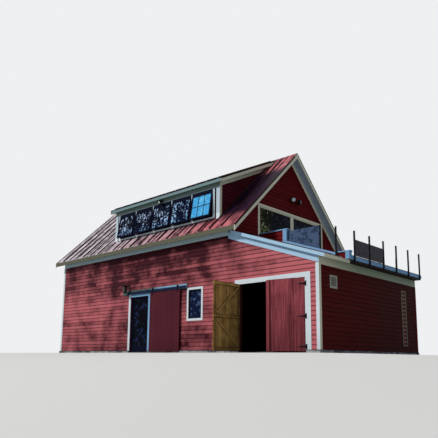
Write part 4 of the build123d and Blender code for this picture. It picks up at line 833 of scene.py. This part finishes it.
def addRound(bm, centre, axis, radius, length, sides=16, crown=0.0):
    # a short round bar or disc from centre along axis, its far face domed by crown
    axis = axis.normalized()
    turn = axis.to_track_quat("Z", "Y").to_matrix().to_4x4()
    made = bmesh.ops.create_cone(
        bm, cap_ends=True, segments=sides, radius1=radius, radius2=radius, depth=length,
        matrix=Matrix.Translation(centre + axis * length / 2) @ turn)["verts"]
    if crown:
        top = max(dict.fromkeys(f for v in made for f in v.link_faces),
                  key=lambda f: f.calc_center_median().dot(axis))
        for rise in dome["rises"]:
            bmesh.ops.inset_region(bm, faces=[top], thickness=radius * dome["inset"])
            for vert in top.verts:
                vert.co += axis * crown * rise


outFront = Vector((0, -1, 0))
sunk = 0.001  # bolts, handle and lenses are let this far into what they sit on

bolts = {
    "hangerBolts": {"x": (-0.41, 1.12), "z": (2.425, 2.475), "face": -3.761, "radius": 0.009,
                    "head": 0.006, "body": "sliding_door_panel"},
    "trackBolts": {"x": [-1.9093 + n * 0.5414 for n in range(7)], "z": [2.685],
                   "face": -3.70, "radius": 0.010, "head": 0.007, "body": "house"},
}
for name, bolt in bolts.items():
    bm = startPiece()
    for x in bolt["x"]:
        for z in bolt["z"]:
            addRound(bm, Vector((x, bolt["face"] + sunk, z)), outFront, bolt["radius"],
                     bolt["head"] + sunk, 6)
    finishPiece(bm, name, [blackSteel], bolt["body"])

# each lamp head's root, its aim, how far its glass is from the root, and its radius
lamps = {"heads": [((4.14, -0.05, 6.45), (0.8192, -0.5736, -0.2868), 0.110, 0.115),
                   ((4.14, 0.35, 6.45), (0.8192, 0.5736, -0.2868), 0.110, 0.115),
                   ((-0.35, -3.40, 6.53), (0, -1, -0.6), 0.200, 0.085)],
         "rim": 0.032, "glass": 0.004, "crown": 0.010}
bm = startPiece()
for root, aim, reach, radius in lamps["heads"]:
    aim = Vector(aim).normalized()
    addRound(bm, Vector(root) + aim * (reach - 2 * sunk), aim, radius - lamps["rim"],
             lamps["glass"] + 2 * sunk, 32, lamps["crown"])
finishPiece(bm, "lampLenses", [lensGlass])

lantern = {"centre": (-2.13, -3.885), "low": 2.635, "high": 2.865, "top": 2.90,
           "width": 0.16, "taper": 5, "margin": 0.022, "thick": 0.004}
bm = startPiece()
for x, y in ((1, 0), (0, 1), (-1, 0), (0, -1)):
    out, across = Vector((x, y, 0)), Vector((-y, x, 0))

    def place(i, j, k):
        z = lantern["low"] if k < 0 else lantern["high"]
        inset = (lantern["top"] - z) * math.tan(math.radians(lantern["taper"]))
        half = lantern["width"] / 2 - inset
        depth = half + j * lantern["thick"] / 2
        return (Vector((*lantern["centre"], z)) + out * depth
                + across * i * (half - lantern["margin"]))

    mould(bm, place)
finishPiece(bm, "lanternPanes", [lanternGlass])

# the entry door's handle: a plate, and a lever on a neck that is above the plate's middle
handle = {"x": -0.832, "z": 1.06, "face": -3.59, "plateWide": 0.042, "plateHigh": 0.17,
          "plateThick": 0.007, "plateEase": 0.003, "neckUp": 0.03, "neck": 0.036,
          "neckRadius": 0.010, "lever": 0.115, "leverRadius": 0.009, "leverPast": 0.012,
          "leverBack": 0.006}
bm = startPiece()
x, face, z = handle["x"], handle["face"], handle["z"]
wide, high = handle["plateWide"] / 2, handle["plateHigh"] / 2
plate = block(bm, (x - wide, face - handle["plateThick"], z - high),
              (x + wide, face + sunk, z + high))
ease(bm, edgesOf(plate), handle["plateEase"], 2)
neckStart = Vector((x, face - handle["plateThick"] + sunk, z + handle["neckUp"]))
addRound(bm, neckStart, outFront, handle["neckRadius"], handle["neck"])
leverStart = neckStart + Vector((handle["leverPast"], handle["leverBack"] - handle["neck"], 0))
addRound(bm, leverStart, Vector((-1, 0, 0)), handle["leverRadius"], handle["lever"])
finishPiece(bm, "entryHandle", [blackSteel], "entry_door_leaf")

decking = {"start": 4.075, "end": 7.80, "front": -2.05, "back": 3.61, "low": 3.2995,
           "high": 3.318, "board": 0.140, "gap": 0.005, "ease": 0.003, "toneSpread": 0.7,
           "seed": 12}
bm = startPiece()
rng = random.Random(decking["seed"])
y = decking["front"]
while y + decking["board"] < decking["back"]:
    board(bm, (decking["start"], y, decking["low"]),
          (decking["end"], y + decking["board"], decking["high"]), 0, decking["ease"],
          rng.gauss(0, decking["toneSpread"]))
    y += decking["board"] + decking["gap"]
finishPiece(bm, "deckBoards", [greyDecking])
print("door, lamp and deck details built")

# glazing bars of the tilted dormer sashes; top and bottom are measured down each sash
sash = {"sashes": 5, "pitch": 1.221, "start": -3.36, "shift": -0.0325, "head": 6.43,
        "front": -3.385, "tilt": 9, "top": 0.170, "bottom": 1.065, "half": 0.503,
        "bar": 0.022, "thick": 0.010, "columns": 3, "rows": 2, "setBack": 0.005,
        "letIn": 0.0005}
bm = startPiece()
tilt, bar = math.radians(sash["tilt"]), sash["bar"] / 2
down = Vector((0, -math.sin(tilt), -math.cos(tilt)))
outward = Vector((0, -math.cos(tilt), math.sin(tilt)))
wide, high = 2 * sash["half"], sash["bottom"] - sash["top"]
for n in range(sash["sashes"]):
    centre = sash["start"] + (n + 0.5) * sash["pitch"] + sash["shift"]
    hinge = Vector((centre, sash["front"], sash["head"]))

    def onSash(u, depth, drop):
        return hinge + Vector((u, 0, 0)) + down * drop - outward * (sash["setBack"] + depth)

    for column in range(1, sash["columns"]):
        u = wide * column / sash["columns"] - sash["half"]
        block(bm, (u - bar, sash["thick"], sash["bottom"]),
              (u + bar, 0, sash["top"]), 0.0, onSash)
    for row in range(1, sash["rows"]):  # a level bar is let into the upright ones
        drop = sash["top"] + high * row / sash["rows"]
        block(bm, (-sash["half"], sash["thick"] + sash["letIn"], drop + bar),
              (sash["half"], sash["letIn"], drop - bar), 0.0, onSash)
finishPiece(bm, "dormerWindowBars", [bronzePaint])
print("window bars fitted")

# the camera stands low at the right and looks up at the barn
lens = {"sensor_width": 36, "lens": 43.02, "shift_x": -0.008, "shift_y": 0.128, "clip_end": 400}
stand = (16.497, -17.622, -0.159)
turns = (("Z", 42.97), ("X", 99.0), ("Z", 0.47))  # to the left, up from straight down, and rolled
cameraData = bpy.data.cameras.new("barnCamera")
for setting, value in lens.items():
    setattr(cameraData, setting, value)
camera = addObject("barnCamera", cameraData)
aim = Matrix.Translation(stand)
for axis, angle in turns:
    aim = aim @ Matrix.Rotation(math.radians(angle), 4, axis)
camera.matrix_world = aim
bpy.context.scene.camera = camera


def seenStraight(tree):
    # 1 for what the camera sees, also in a mirror or through glass, and 0 for light on the barn
    path = addNode(tree, "LightPath")
    seen = path["Is Camera Ray"]
    for ray in ("Is Glossy Ray", "Is Transmission Ray"):
        seen = addNode(tree, "Math", {0: seen, 1: path[ray]}, settings={"operation": "MAXIMUM"})[0]
    return seen


# a pale floor, level under the barn and falling gently away round it, as the camera is below it
ground = {"half": 90, "cells": 180, "flatX": 8.6, "flatFront": -5.6, "flatBack": 4.4,
          "fall": 0.0095, "straightFrom": 40, "lit": "#8a8a86", "seen": "#dcdcda",
          "roughness": 0.9}
bm = bmesh.new()
bmesh.ops.create_grid(bm, x_segments=ground["cells"], y_segments=ground["cells"],
                      size=ground["half"])
for point in bm.verts:
    dx = max(0, abs(point.co.x) - ground["flatX"])
    dy = max(0, ground["flatFront"] - point.co.y, point.co.y - ground["flatBack"])
    away = math.hypot(dx, dy)
    point.co.z = -ground["fall"] * away * away / (1 + away / ground["straightFrom"])
for face in bm.faces:
    face.smooth = True
floorPaper = bpy.data.materials.new("paleBackdropPaper")
floorPaper.use_nodes = True
tree = floorPaper.node_tree
colour = blend(tree, seenStraight(tree), ground["lit"], ground["seen"])
setInputs(tree, tree.nodes["Principled BSDF"], {"Base Color": colour},
          {"Roughness": ground["roughness"]})
floor = addMesh(bm, "studioFloor", [floorPaper])

# soft studio light: an even pale world, and a broad key from high on the left front
studio = {"ambient": "#dde8f4", "ambientLevel": 0.38, "background": "#eef0f1",
          "key": "#fffaf2", "keyLevel": 2.7, "keyAngle": 8, "keyFrom": (-0.45, -0.8, 0.85)}
world = bpy.data.worlds.new("studioWorld")
bpy.context.scene.world = world
world.use_nodes = True
tree = world.node_tree
seen = seenStraight(tree)
strength = addNode(tree, "MapRange", {"Value": seen},
                   {"To Min": studio["ambientLevel"], "To Max": 1.0})[0]
colour = blend(tree, seen, studio["ambient"], studio["background"])
setInputs(tree, tree.nodes["Background"], {"Color": colour, "Strength": strength})
keyData = bpy.data.lights.new("keyLamp", "SUN")
keyData.energy = studio["keyLevel"]
keyData.angle = math.radians(studio["keyAngle"])
keyData.color = linear(studio["key"])[:3]
key = addObject("keyLamp", keyData)
key.rotation_mode = "QUATERNION"
key.rotation_quaternion = Vector(studio["keyFrom"]).to_track_quat("Z", "Y")
bpy.context.scene.view_settings.view_transform = "Standard"
print("camera, floor and light set")
